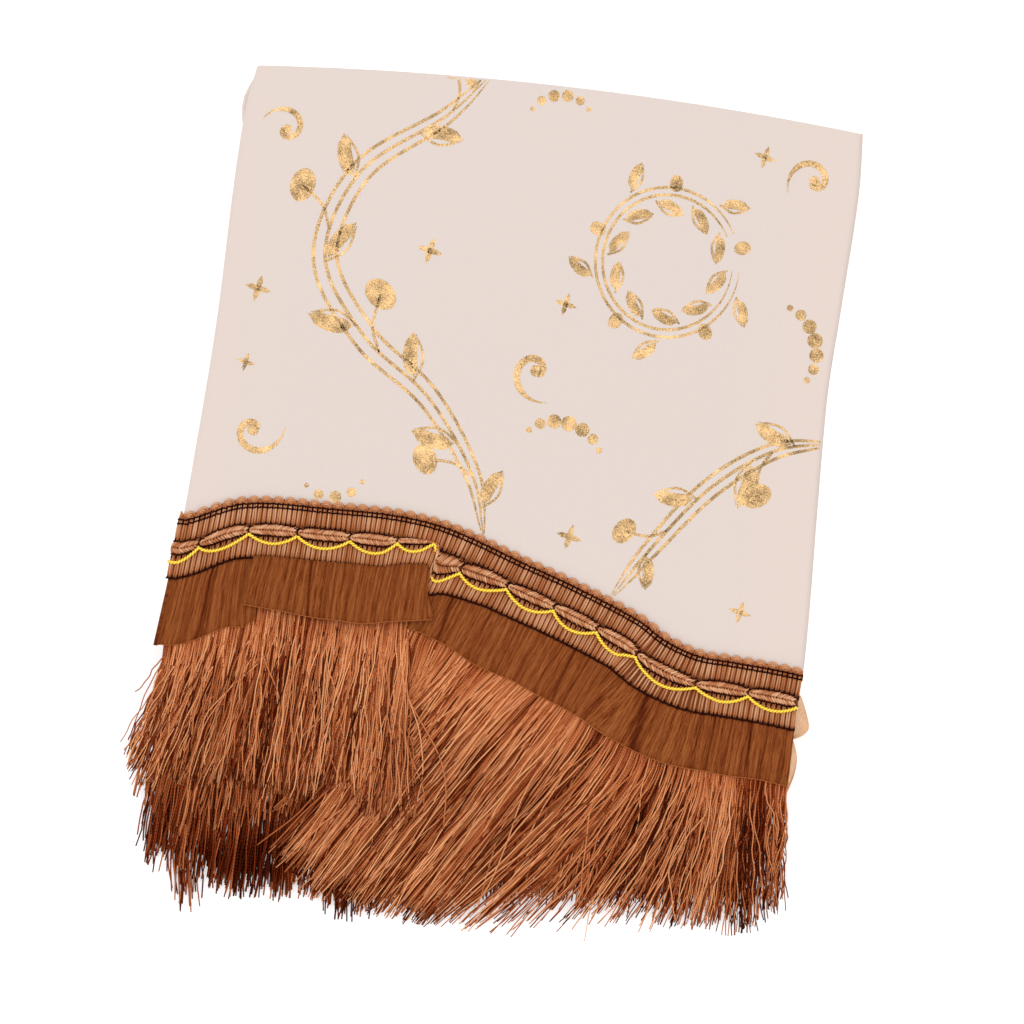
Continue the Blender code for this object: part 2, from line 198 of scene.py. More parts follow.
# Loops of the lower organza that stand out on the right: depth and reach, and the heights of each loop
LOOPS = (
    (((302, 326.5), (306, 330), (312, 333), (318, 335.3), (322, 336), (326, 332.5), (328, 328)), (9, 24)),
    (((322, 325), (336, 330.5), (346, 330.8), (354, 329.3), (362, 326.5)), (6, 17)),
)
LOOP_ROOT = 322.0
LOOP_RIM = (0.55, 0.25, 0.09)

# Locks of the fringe: least and most width, and how far their tips drift sideways
LOCK_WIDTH = (7, 15)
LOCK_DRIFT = 2.4
STRAY_SHARE = 0.06
# Where the pleat's strands end, and from where on they fray to the right
PLEAT_END = 131.0
PLEAT_FRAY = 114.0
PLEAT_RISE = 2.2
# Heights of the top panel's lowest and highest strands
LAYER_LEVELS = (-0.5, 0.4)
# The fringe's heading tape: its rows, down from the picot line
HEADING_ROWS = (24, 27, 31)
# How far the twist's phase climbs once round a strand
TWIST_CLIMB = 2.2
# A strand's tone by its level in the layer: painted shade, darker for the strands that lie lower
TONE_LOW = 0.185
TONE_RANGE = 0.7
TONE_POWER = 1.6
# The tone of a strand in the shade of the organza, as a share of its own
SHADED = (0.4, 1.0)
# Painted shade on the strands near the right side: x, width and depth of tone
RIGHT_SHADE = (312, 7, 0.4)
# Painted shade in the dark hollow low on the left: across, and down with the depth of tone
HOLLOW_ACROSS = (42, 34, 1.0)
HOLLOW_DOWN = (427, 15, 0.34)
# A tuft that hangs out low on the left: its panel, the range of its roots, its tips' range and their depth
TUFT_PANEL = 1
TUFT_ROOTS = (-12, 8)
TUFT_TIPS = (2, 20)
TUFT_DEPTH = 456
# A strand's sides, and its steps on the top panel and below it
STRAND_SIDES = 3
SHOWN_STEPS = 18
UNDER_STEPS = 10
# How much thicker the strands below are
UNDER_THICKER = 1.3

# Half the floor's width in metres, and the light that it gives off, so that it is an even pale ground
FLOOR_HALF = 4.0
FLOOR_GLOW = 0.45
WORLD_STRENGTH = 0.93
# Power, size and place of each light
LIGHTS = {"key": (14.0, 1.4, (-0.5, 0.6, 2.1)), "fill": (8.0, 1.8, (1.0, -0.5, 1.9))}
CAMERA_PLACE = (0.0133, 0.0013, 6.0)


class ClothSettings(bpy.types.PropertyGroup):
    thickness: bpy.props.FloatProperty(
        name="Thickness", description="Thickness of one cloth layer", default=0.0007,
        min=0.0002, max=0.001, subtype="DISTANCE", unit="LENGTH",
    )
    colour: bpy.props.FloatVectorProperty(
        name="Cloth", description="Colour of the cream cloth", default=(0.65, 0.565, 0.52),
        size=3, min=0, max=1, subtype="COLOR",
    )
    # Painted shade: the cloth is darker and warmer near its folded side edges
    edge_shade_colour: bpy.props.FloatVectorProperty(
        name="Warm shade", description="Colour of the cloth near its folded edges",
        default=(0.645, 0.535, 0.48), size=3, min=0, max=1, subtype="COLOR",
    )
    rib_pitch: bpy.props.FloatProperty(
        name="Rib pitch", description="Distance from rib to rib of the weave", default=0.0011,
        min=0.0003, max=0.005, subtype="DISTANCE", unit="LENGTH",
    )


class PrintSettings(bpy.types.PropertyGroup):
    colour: bpy.props.FloatVectorProperty(
        name="Foil", description="Colour of the gold foil", default=(0.56, 0.36, 0.17),
        size=3, min=0, max=1, subtype="COLOR",
    )
    line: bpy.props.FloatProperty(
        name="Line", description="Width of the print's fine lines", default=0.0015,
        min=0.0003, max=0.005, subtype="DISTANCE", unit="LENGTH",
    )


class TrimSettings(bpy.types.PropertyGroup):
    tape_thickness: bpy.props.FloatProperty(
        name="Tape thickness", description="Thickness of the braid's tape", default=0.0009,
        min=0.0003, max=0.002, subtype="DISTANCE", unit="LENGTH",
    )
    braid_colour: bpy.props.FloatVectorProperty(
        name="Braid", description="Colour of the braid's yarn", default=(0.38, 0.122, 0.042),
        size=3, min=0, max=1, subtype="COLOR",
    )
    stitch_colour: bpy.props.FloatVectorProperty(
        name="Stitches", description="Colour of the dark sewing thread", default=(0.02, 0.003, 0.002),
        size=3, min=0, max=1, subtype="COLOR",
    )
    cord_colour: bpy.props.FloatVectorProperty(
        name="Cord", description="Colour of the gold cord", default=(0.6, 0.32, 0.01),
        size=3, min=0, max=1, subtype="COLOR",
    )
    cord_diameter: bpy.props.FloatProperty(
        name="Cord diameter", description="Diameter of the twisted gold cord", default=0.0022,
        min=0.0005, max=0.004, subtype="DISTANCE", unit="LENGTH",
    )
    cord_sag: bpy.props.FloatProperty(
        name="Cord sag", description="How far each scallop hangs", default=0.0054,
        min=0, max=0.01, subtype="DISTANCE", unit="LENGTH",
    )
    band_colour: bpy.props.FloatVectorProperty(
        name="Organza", description="Colour of the gathered organza", default=(0.18, 0.041, 0.0072),
        size=3, min=0, max=1, subtype="COLOR",
    )
    organza_thickness: bpy.props.FloatProperty(
        name="Organza thickness", description="Thickness of the organza", default=0.00025,
        min=0.0001, max=0.001, subtype="DISTANCE", unit="LENGTH",
    )
    band_depth: bpy.props.FloatProperty(
        name="Band depth", description="From the picot line to the organza's lower edge", default=0.061,
        min=0.04, max=0.08, subtype="DISTANCE", unit="LENGTH",
    )


class FringeSettings(bpy.types.PropertyGroup):
    colour: bpy.props.FloatVectorProperty(
        name="Strands", description="Colour of the fringe yarn", default=(0.53, 0.16, 0.053),
        size=3, min=0, max=1, subtype="COLOR",
    )
    strand_diameter: bpy.props.FloatProperty(
        name="Strand diameter", description="Diameter of one twisted strand", default=0.0011,
        min=0.0004, max=0.003, subtype="DISTANCE", unit="LENGTH",
    )
    shown_strands: bpy.props.IntProperty(
        name="Shown strands", description="Strands of the top panel", default=2200, min=100, max=4000,
    )
    under_strands: bpy.props.IntProperty(
        name="Strands below", description="Strands of each panel below it", default=520, min=50, max=900,
    )
    seed: bpy.props.IntProperty(name="Seed", description="Seed of the strands' lie", default=4)


class StageSettings(bpy.types.PropertyGroup):
    floor_colour: bpy.props.FloatVectorProperty(
        name="Floor", description="Colour of the pale floor", default=(0.75, 0.75, 0.75),
        size=3, min=0, max=1, subtype="COLOR",
    )
    camera_roll: bpy.props.FloatProperty(
        name="Camera roll", description="Turn of the camera about its own axis",
        default=math.radians(6.5), subtype="ANGLE", unit="ROTATION",
    )
    field: bpy.props.FloatProperty(
        name="Field", description="Width of the camera's view at the cover", default=0.554,
        min=0.1, max=3, subtype="DISTANCE", unit="LENGTH",
    )


def smooth_share(start, end, value):
    """0 before the start, 1 after the end, and an even S between them."""
    share = min(max((value - start) / (end - start), 0.0), 1.0)
    return share * share * (3 - 2 * share)


def bell(value, middle, width, height=1.0):
    """A hump of this height round the middle, nearly gone at twice the width."""
    return height * math.exp(-(((value - middle) / width) ** 2))


def between(start, end, share):
    """The value at a share of the way from the start to the end."""
    return start + (end - start) * share


def in_frame(x, depth, height):
    """A point in metres from its x, depth and height in millimetres."""
    return (Vector((x, -depth, height)) + SHIFT) * MM


def x_and_depth(point):
    """The x and depth in millimetres of a point in metres."""
    spot = point / MM - SHIFT
    return spot.x, -spot.y


def curve_through(table, at, column=1):
    """A smooth curve through a table's first column and another one, level outside it."""
    if at <= table[0][0]:
        return table[0][column]
    if at >= table[-1][0]:
        return table[-1][column]
    right = next(i for i, row in enumerate(table) if row[0] >= at)
    left = right - 1

    def slope(i):
        before = table[max(i - 1, 0)]
        after = table[min(i + 1, len(table) - 1)]
        return (after[column] - before[column]) / (after[0] - before[0])

    width = table[right][0] - table[left][0]
    t = (at - table[left][0]) / width
    return (
        table[left][column] * (2 * t**3 - 3 * t**2 + 1)
        + slope(left) * width * (t**3 - 2 * t**2 + t)
        + table[right][column] * (3 * t**2 - 2 * t**3)
        + slope(right) * width * (t**3 - t**2)
    )


def front_reach(depth):
    """Half the pitch of two panels that face each other with their fronts."""
    reach = PANEL_REACH + GAP / 2
    reach += (TRIM_REACH - reach) * smooth_share(FLAT_DEPTH, HEM_DEPTH, depth)
    return reach + (STRAND_REACH - TRIM_REACH) * smooth_share(*FALL, depth)


def back_reach(depth):
    """Half the pitch of two panels that face each other with their backs."""
    reach = PANEL_REACH + GAP / 2
    return reach + (BACK_REACH_BELOW_HEM - reach) * smooth_share(*BACK_FALL, depth)


def front_is_up(panel):
    return panel % 2 == 1


@functools.lru_cache(maxsize=200000)
def panel_height(panel, depth):
    """Height of a panel's middle above the surface that the stack lies on."""
    front = front_reach(depth)
    back = back_reach(depth)
    return front - GAP / 2 + sum(2 * (front if front_is_up(below) else back) for below in range(panel))


def turn(panel, depth):
    """Side, x, height and radius of the turn that follows a panel."""
    low = panel_height(panel, depth)
    high = panel_height(panel + 1, depth)
    radius = (high - low) / 2
    which = panel // 2
    if front_is_up(panel):
        x = curve_through(RIGHT_SIDE, depth) - RIGHT_INSETS[which] - radius - PANEL_REACH
        return 1, x, (low + high) / 2, radius
    bump = bell(depth, 20, 14, LEFT_BUMP) if which == 1 else 0
    x = curve_through(LEFT_SIDE, depth) + LEFT_INSETS[which] - bump + radius + PANEL_REACH
    return -1, x, (low + high) / 2, radius


@functools.lru_cache(maxsize=200000)
def panel_end(panel, depth):
    """The x where a panel ends, for -1 the one where the first panel starts."""
    if panel in (-1, TOP_PANEL):
        return curve_through(RIGHT_SIDE, depth) - (0 if panel == TOP_PANEL else RIGHT_INSETS[0])
    return turn(panel, depth)[1]


def bow(x, depth):
    """How far the top fold bows out from a straight line at this x."""
    across = 2 * x / RIGHT_SIDE[0][1] - 1
    return FOLD_BOW * max(1 - across**2, 0) * max(1 - depth / FLAT_DEPTH, 0)


def place(station, depth, off, lean=0.0, swell=0.0):
    """A point of the folded cover, in metres.

    A station is a panel with a share along it and no angle, or the turn after it with an angle.
    The off value is the distance from the panel's middle to its back, negative to its front.
    """
    panel, share, angle = station
    if angle is None:
        start = panel_end(panel - 1, depth)
        x = start + (panel_end(panel, depth) - start) * share + lean
        z = panel_height(panel, depth) + (-off if front_is_up(panel) else off)
    else:
        side, middle_x, middle_z, radius = turn(panel, depth)
        radius += off if front_is_up(panel) else -off
        x = middle_x + side * (radius + swell) * math.sin(angle)
        z = middle_z - radius * math.cos(angle)
    return in_frame(x, depth - bow(x, depth), z)


def even_shares(steps):
    return [i / steps for i in range(steps + 1)]


def stations(under_steps, top_shares, turn_steps):
    """The stations from the free end of the bottom panel to that of the top panel."""
    found = []
    for panel in range(PANELS):
        shares = top_shares if panel == TOP_PANEL else even_shares(under_steps)
        found += [(panel, share, None) for share in shares]
        if panel < TOP_PANEL:
            found += [(panel, 1.0, math.pi * i / turn_steps) for i in range(1, turn_steps)]
    return found


def top_x(share):
    """The x on the picot line of a share along the top panel."""
    return PICOT_LINE[0][0] + SHOWN_LENGTH * share


def top_share(x):
    return (x - PICOT_LINE[0][0]) / SHOWN_LENGTH


def picot_depth(station):
    """Depth of the picot line: level under the top panel, and drawn up towards its left side."""
    panel, share, angle = station
    if panel == TOP_PANEL:
        return curve_through(PICOT_LINE, top_x(share))
    if panel < TOP_PANEL - 1:
        return PICOT_DEPTH
    from_end = 0 if angle is not None else (1 - share) * SHOWN_LENGTH
    drawn_up = PICOT_LINE[0][1] - PICOT_DEPTH
    return PICOT_DEPTH + drawn_up * smooth_share(HEM_PULL_LENGTH, 0, from_end)


def picot_slant(x):
    """Angle of the picot line on the top panel at this x."""
    inside = min(max(x, TRIM_START + 1), TRIM_END - 1)
    rise = curve_through(PICOT_LINE, inside + 1) - curve_through(PICOT_LINE, inside - 1)
    return math.atan2(rise, 2)


def trim_point(station, down, off, swell=0.0, slide=0.0):
    """A point of the trim: a distance down from the picot line, square to it on the top panel."""
    depth = picot_depth(station)
    panel, share, angle = station
    lean = 0.0
    stretch = 1.0
    if panel == TOP_PANEL:
        x = top_x(share)
        slant = picot_slant(x)
        lean = -math.sin(slant) * smooth_share(0, 60, x) * smooth_share(327, 290, x)
        stretch = (1 + math.sin(slant) * lean) / math.cos(slant)
    elif panel == TOP_PANEL - 1 and angle is not None:
        stretch += (1 / math.cos(picot_slant(top_x(0))) - 1) * smooth_share(0, math.pi / 2, angle)
    return place(station, depth + down * stretch, -off, lean * down + slide, swell)


class Socket:
    """A shader socket that takes part in Python sums, which add Math nodes."""

    def __init__(self, look, socket):
        self.look = look
        self.socket = socket

    def sum_with(self, operation, first, second):
        return self.look.node("ShaderNodeMath", {"operation": operation}, [first, second])

    def __add__(self, other):
        return self.sum_with("ADD", self, other)

    __radd__ = __add__

    def __sub__(self, other):
        return self.sum_with("SUBTRACT", self, other)

    def __rsub__(self, other):
        return self.sum_with("SUBTRACT", other, self)

    def __mul__(self, other):
        return self.sum_with("MULTIPLY", self, other)

    __rmul__ = __mul__

    def __truediv__(self, other):
        return self.sum_with("DIVIDE", self, other)

    def sine(self):
        return self.sum_with("SINE", self, 0.0)

    def wave(self):
        """From 0 to 1 and back, once for each turn of the value."""
        return 0.5 + 0.5 * (self * math.tau).sine()


class Look:
    """A material whose Principled shader is fed by expressions."""

    def __init__(self, name, **settings):
        self.material = bpy.data.materials.new(name)
        self.material.use_nodes = True
        self.tree = self.material.node_tree
        self.shader = self.tree.nodes["Principled BSDF"]
        for socket, value in settings.items():
            self.shader.inputs[socket.replace("_", " ")].default_value = value

    def node(self, kind, settings=None, inputs=(), output=0):
        """Adds a node, sets it up, then fills its inputs from values or links, by place or name."""
        made = self.tree.nodes.new(kind)
        for name, value in (settings or {}).items():
            if name == "stops":
                self.fill_ramp(made.color_ramp, value)
            else:
                setattr(made, name, value)
        pairs = inputs.items() if isinstance(inputs, dict) else enumerate(inputs)
        for key, value in pairs:
            if isinstance(value, Socket):
                self.tree.links.new(value.socket, made.inputs[key])
            elif value is not None:
                made.inputs[key].default_value = value
        return Socket(self, made.outputs[output])

    @staticmethod
    def fill_ramp(ramp, stops):
        while len(ramp.elements) < len(stops):
            ramp.elements.new(0.5)
        for element, (position, colour) in zip(ramp.elements, stops, strict=True):
            element.position = position
            element.color = (*colour, 1.0)

    def feed(self, **values):
        for name, value in values.items():
            self.tree.links.new(value.socket, self.shader.inputs[name.replace("_", " ")])

    def position(self):
        """The piece's own coordinates, in millimetres."""
        spot = self.node("ShaderNodeTexCoord", output="Object")
        return self.node("ShaderNodeVectorMath", {"operation": "SCALE"}, {0: spot, "Scale": 1 / MM})

    def split(self, vector):
        made = self.tree.nodes.new("ShaderNodeSeparateXYZ")
        self.tree.links.new(vector.socket, made.inputs[0])
        return [Socket(self, output) for output in made.outputs]

    def noise(self, vector, scale, detail=2.0, rough=0.5):
        inputs = {"Vector": vector, "Scale": scale, "Detail": detail, "Roughness": rough}
        return self.node("ShaderNodeTexNoise", None, inputs)

    def attribute(self, name):
        return self.node("ShaderNodeAttribute", {"attribute_name": name}, output="Fac")

    def blend(self, share, first, second):
        """A mix of two colours by a share."""
        made = self.tree.nodes.new("ShaderNodeMix")
        made.data_type = "RGBA"
        for socket, value in (("Factor", share), ("A", first), ("B", second)):
            found = [i for i in made.inputs if i.name == socket and i.enabled][0]
            if isinstance(value, Socket):
                self.tree.links.new(value.socket, found)
            else:
                found.default_value = value if isinstance(value, float) else (*value[:3], 1.0)
        return Socket(self, [o for o in made.outputs if o.enabled][0])

    def ramp(self, value, stops):
        return self.node("ShaderNodeValToRGB", {"stops": stops}, [value])

    def bump(self, height, strength, distance):
        inputs = {"Height": height, "Strength": strength, "Distance": distance * MM}
        self.feed(Normal=self.node("ShaderNodeBump", None, inputs))


def scaled(colour, factor):
    """A colour times one factor, or times one for each channel."""
    factors = factor if isinstance(factor, tuple) else (factor,) * 3
    return tuple(min(part * by, 1.0) for part, by in zip(colour, factors, strict=True))


def cloth_look(settings):
    """Cream cloth: a fine rib one way, a fainter one the other way, and painted shade, darker and warmer,
    near the sides.
    """
    look = Look("cover_fabric", Roughness=0.85, Sheen_Weight=0.25, Sheen_Roughness=0.5)
    spot = look.position()
    x, y, _ = look.split(spot)
    pitch = settings.rib_pitch / MM
    ribs = (x / pitch).wave()
    picks = (y / (pitch * 1.3)).wave()
    slub = look.noise(spot, 0.9, 3.0)
    cloud = look.noise(spot, 0.012, 2.0)
    grid = ribs * 0.6 + picks * 0.4
    fine = look.blend(grid * 0.35 + slub * 0.3, scaled(settings.colour, 0.93), settings.colour)
    # Painted shade: from 110 mm out from the middle, the cloth turns darker and warmer towards its folded
    # side edges, varied at random by the cloud noise
    middle = (CAD_BOX[0][0] + CAD_BOX[1][0]) / 2 / MM
    from_middle = look.node("ShaderNodeMath", {"operation": "ABSOLUTE"}, [x - middle])
    edge = look.node(
        "ShaderNodeMapRange", {"interpolation_type": "SMOOTHSTEP"},
        {"Value": from_middle, "From Min": 110.0, "From Max": 172.0},
    )
    look.feed(Base_Color=look.blend(edge * 0.55 + cloud * 0.3, fine, settings.edge_shade_colour))
    look.bump(grid + slub * 0.6, 0.5, 0.12)
    return look.material


def foil_look(settings):
    """Gold foil on a ribbed cloth: bright grains with dark cracks between them, and broad patches of painted
    reflection, darker brown or lighter.
    """
    look = Look("gold_foil", Roughness=0.32, Metallic=0.85)
    spot = look.position()
    grain = look.noise(spot, 1.5, 4.0, 0.7)
    # Painted reflection: broad patches of the foil are darker brown or lighter, as if they reflected dark or
    # light surroundings
    painted_reflection = look.noise(spot, 0.12, 2.0)
    level = grain * 0.8 + painted_reflection * 0.35
    stops = (
        (0.4, scaled(settings.colour, 0.14)), (0.51, scaled(settings.colour, 0.45)),
        (0.6, settings.colour), (0.72, scaled(settings.colour, 1.6)),
    )
    look.feed(Base_Color=look.ramp(level, stops), Roughness=0.2 + 0.5 * grain)
    look.bump(grain, 0.6, 0.15)
    return look.material


def yarn_look(name, colour, dark, light, gloss=0.7):
    """Yarn whose shade comes from the mesh: painted shade at 0 in its hollows, a painted highlight at 1 on
    its crowns.
    """
    look = Look(name, Roughness=gloss, Specular_IOR_Level=0.02)
    spot = look.position()
    fibre = look.noise(spot, 2.6, 3.0, 0.65)
    shade = look.attribute("shade") * 0.75 + fibre * 0.4
    stops = ((0.15, scaled(colour, dark)), (0.55, colour), (0.95, scaled(colour, light)))
    look.feed(Base_Color=look.ramp(shade, stops))
    look.bump(fibre, 0.5, 0.2)
    return look.material


def strand_look(settings):
    """Silky twisted yarn: each strand has its own shade, random in part and painted shade in part, and a
    twist that runs round it.
    """
    look = Look("fringe_yarn", Roughness=0.5, Specular_IOR_Level=0.02)
    along = look.attribute("along")
    shade = look.attribute("shade")
    twist = (along * 0.55 + shade * 9).wave()
    fibre = look.noise(look.position(), 2.4, 3.0, 0.65)
    level = shade * 0.8 + twist * 0.08 + fibre * 0.2 - 0.03
    colour = settings.colour
    stops = (
        (0.08, scaled(colour, (0.05, 0.012, 0.008))), (0.32, scaled(colour, (0.37, 0.18, 0.115))),
        (0.57, colour), (0.9, scaled(colour, (1.55, 2.35, 3.2))),
    )
    look.feed(Base_Color=look.ramp(level, stops), Roughness=0.35 + 0.3 * fibre)
    look.bump(twist, 0.2, 0.2)
    return look.material


def cord_look(settings):
    look = Look("gold_thread", Roughness=0.3, Metallic=0.7)
    # Painted shade and highlight: the mesh's shade is dark in the twist's grooves and light on its crowns,
    # topped by a bright highlight colour and painted glints from the noise
    shade = look.attribute("shade")
    glint = look.noise(look.position(), 1.4, 3.0)
    colour = settings.cord_colour
    stops = (
        (0.22, scaled(colour, 0.22)), (0.5, colour), (0.85, (1.0, 0.7, 0.08)),
    )
    look.feed(Base_Color=look.ramp(shade * 0.85 + glint * 0.3, stops), Roughness=0.25 + 0.3 * glint)
    return look.material


def organza_look(colour):
    """Sheer organza: streaks of painted light and shade from fine crinkles along its gathers, crossed by
    fine threads, and open between them.
    """
    look = Look("organza", Roughness=0.7, Specular_IOR_Level=0.05)
    along = look.attribute("along")
    down = look.attribute("down")
    flat = look.node("ShaderNodeCombineXYZ", None, [along + 0.04 * down, 0.03 * down])
    crinkle_shading = look.noise(flat, 2.3, 4.0, 0.85)
    slow = look.noise(flat, 0.3, 2.0)
    thread = (down / 0.7).wave()
    # Painted light and shade: the crinkle streaks, and the mesh's shade that is lighter on the crests of the
    # gathers and darker in their troughs and creases
    level = look.attribute("shade") * 0.5 + crinkle_shading * 1.9 + slow * 0.35 + thread * 0.1 - 0.76
    stops = (
        (0.36, scaled(colour, (0.36, 0.2, 0.15))), (0.63, colour), (0.88, scaled(colour, (1.7, 2.3, 3.6))),
    )
    look.feed(Base_Color=look.ramp(level, stops), Alpha=1.1 - 0.25 * crinkle_shading)
    look.bump(crinkle_shading + thread * 0.2, 0.5, 0.3)
    return look.material


def sheer_look():
    """One layer of pale organza with light behind it."""
    look = Look("sheer_organza", Roughness=0.5, Specular_IOR_Level=0.2)
    spot = look.position()
    x, y, z = look.split(spot)
    threads = (y / 0.8).wave() * 0.5 + ((x + z) / 0.8).wave() * 0.5
    cloud = look.noise(spot, 0.2, 2.0)
    stops = ((0.2, (0.8, 0.42, 0.19)), (0.8, (0.95, 0.66, 0.42)))
    look.feed(Base_Color=look.ramp(threads * 0.5 + cloud * 0.5, stops), Alpha=0.38 + 0.3 * cloud)
    return look.material


def add_piece(name, points, faces, material, slot, smooth=True, **layers):
    """A mesh piece that rides on the cover's body, with any named values on its points."""
    mesh = bpy.data.meshes.new(name)
    mesh.from_pydata(points, [], faces)
    for layer, values in layers.items():
        mesh.attributes.new(layer, "FLOAT", "POINT").data.foreach_set("value", values)
    mesh.polygons.foreach_set("use_smooth", [smooth] * len(mesh.polygons))
    mesh.materials.append(material)
    mesh.update()
    piece = bpy.data.objects.new(name, mesh)
    bpy.context.scene.collection.objects.link(piece)
    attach(piece, BODY)
    return piece


def grid_faces(columns, rows, start=0):
    """The faces of a grid whose points run down one column after another, front up."""
    faces = []
    for column in range(columns - 1):
        for row in range(rows - 1):
            corner = start + column * rows + row
            faces.append((corner, corner + 1, corner + rows + 1, corner + rows))
    return faces


def thicken(piece, thickness):
    solidify = piece.modifiers.new("Thickness", "SOLIDIFY")
    solidify.thickness = thickness
    solidify.offset = 0


class Tubes:
    """Many tubes gathered in one mesh, each with a shade and its length along it."""

    def __init__(self, sides):
        self.sides = sides
        self.points = []
        self.faces = []
        self.shade = []
        self.along = []

    def add(self, path, radius, shade, taper=1.0):
        """One tube round a path; the shade may be one value or one for each point."""
        sides = self.sides
        first = len(self.points)
        travelled = 0.0
        last = len(path) - 1
        for index, point in enumerate(path):
            ahead = path[min(index + 1, last)] - path[max(index - 1, 0)]
            across = Vector((ahead.y, -ahead.x, 0))
            across = across.normalized() if across.length > 1e-9 else Vector((1, 0, 0))
            up = across.cross(ahead).normalized() if ahead.length > 1e-9 else Vector((0, 0, 1))
            if index:
                travelled += (point - path[index - 1]).length / MM
            size = radius * (1 - (1 - taper) * index / last)
            value = shade[index] if isinstance(shade, (list, tuple)) else shade
            for side in range(sides):
                angle = math.tau * side / sides
                self.points.append(point + size * (math.cos(angle) * across + math.sin(angle) * up))
                self.shade.append(value)
                self.along.append(travelled + side / sides * TWIST_CLIMB)
        for ring in range(last):
            low = first + ring * sides
            for side in range(sides):
                after = (side + 1) % sides
                self.faces.append((low + side, low + after, low + sides + after, low + sides + side))
        self.faces.append(tuple(first + side for side in reversed(range(sides))))
        self.faces.append(tuple(first + last * sides + side for side in range(sides)))

    def piece(self, name, material, slot):
        return add_piece(
            name, self.points, self.faces, material, slot, shade=self.shade, along=self.along
        )


def cloth_swell(x, depth):
    """Slow waves of the cloth, and small puckers where the braid is sewn on."""
    slow = 0.16 * math.sin(x / 41 + depth / 67) + 0.1 * math.sin(x / 23 - depth / 38 + 1.3)
    above = curve_through(PICOT_LINE, x) - depth
    pucker = 0.16 * math.sin(math.tau * x / 13.3 + 0.7 * math.sin(x / 19)) * math.exp(-max(above, 0) / 14)
    return (slow + pucker) * smooth_share(0, 25, depth)


def on_top(x, depth, lift):
    """A point at a height above the middle of the top panel's front layer."""
    z = panel_height(TOP_PANEL, depth) + LAYER_OFFSET + cloth_swell(x, depth) + lift
    return in_frame(x, depth - bow(x, depth), z)


def build_cloth(settings):
    """One cloth, folded in half across and then back and forth."""
    columns = stations(18, even_shares(90), 12)
    points = []
    for station in columns:
        hem = picot_depth(station) + HEM_UNDER_BRAID
        side = [between(PANEL_REACH, hem, share) for share in even_shares(CLOTH_ROWS)]
        section = [(depth, LAYER_OFFSET) for depth in reversed(side)]
        for step in range(1, FOLD_STEPS):
            bend = math.pi * step / FOLD_STEPS
            depth = PANEL_REACH - LAYER_OFFSET * math.sin(bend)
            section.append((depth, LAYER_OFFSET * math.cos(bend)))
        section += [(depth, -LAYER_OFFSET) for depth in side]
        for depth, off in section:
            point = place(station, depth, off)
            if station[0] == TOP_PANEL and off < 0:
                point.z += cloth_swell((point.x / MM) - SHIFT.x, depth) * MM
            points.append(point)
    rows = len(points) // len(columns)
    piece = add_piece("cloth", points, grid_faces(len(columns), rows), cloth_look(settings), "cover_fabric")
    thicken(piece, settings.thickness)
    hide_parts("cover_cloth")
    return piece


class Print:
    """Flat foil shapes that are laid on the top panel."""

    LIFT = 0.42
    # A point of each cutting line and the side of it that is cut away
    CUTS = (
        ((0, 1.3, 0), (0, -1, 0)),
        ((325, 0, 0), (1, 0, 0)),
        ((3.5, 0, 0), (-1, -0.05, 0)),
    )

    def __init__(self):
        self.points = []
        self.faces = []

    def ribbon(self, path, width, start=0.15, end=0.15, swell=1.0):
        """A line whose width rises from one end's share to the middle and falls to the other's."""
        first = len(self.points)
        last = len(path) - 1
        for index, (x, depth) in enumerate(path):
            before = path[max(index - 1, 0)]
            after = path[min(index + 1, last)]
            dx = after[0] - before[0]
            dy = after[1] - before[1]
            length = math.hypot(dx, dy) or 1.0
            share = index / last
            ends = min(start + share * 5, 1.0, end + (1 - share) * 5)
            half = width / 2 * ends * (1 + (swell - 1) * math.sin(math.pi * share))
            for side in (-1, 0, 1):
                self.points.append((x - side * half * dy / length, depth + side * half * dx / length))
        for index in range(last):
            low = first + 3 * index
            self.faces += [(low, low + 1, low + 4, low + 3), (low + 1, low + 2, low + 5, low + 4)]

    def disc(self, x, depth, across, tall, tilt):
        """An ellipse in rings, tilted by an angle in degrees."""
        angle = math.radians(tilt)
        first = len(self.points)
        around = 22
        self.points.append((x, depth))
        for ring in (0.5, 1.0):
            for step in range(around):
                bend = math.tau * step / around
                u = ring * across / 2 * math.cos(bend)
                v = ring * tall / 2 * math.sin(bend)
                away = u * math.cos(angle) - v * math.sin(angle)
                down = u * math.sin(angle) + v * math.cos(angle)
                self.points.append((x + away, depth + down))
        for step in range(around):
            after = (step + 1) % around
            inner = first + 1 + step
            outer = inner + around
            self.faces.append((first, first + 1 + after, inner))
            self.faces.append((inner, first + 1 + after, first + 1 + around + after, outer))

    def piece(self, material):
        """The shapes, cut off where the cloth folds away, and laid on the top panel."""
        flat = bmesh.new()
        corners = [flat.verts.new((x, depth, 0)) for x, depth in self.points]
        for face in self.faces:
            flat.faces.new([corners[i] for i in face])
        for point, outward in self.CUTS:
            parts = flat.verts[:] + flat.edges[:] + flat.faces[:]
            bmesh.ops.bisect_plane(flat, geom=parts, plane_co=point, plane_no=outward, clear_outer=True)
        flat.verts.index_update()
        points = [on_top(vertex.co.x, vertex.co.y, self.LIFT) for vertex in flat.verts]
        faces = [[vertex.index for vertex in face.verts] for face in flat.faces]
        flat.free()
        made = add_piece("foil_print", points, faces, material, "gold_thread", smooth=False)
        thicken(made, 0.00006)
        return made


def bent_line(points, steps=10):
    """A smooth line through points, as a list of places."""
    rows = [(i, *point) for i, point in enumerate(points)]
    total = (len(points) - 1) * steps
    return [
        (curve_through(rows, i / steps, 1), curve_through(rows, i / steps, 2)) for i in range(total + 1)
    ]


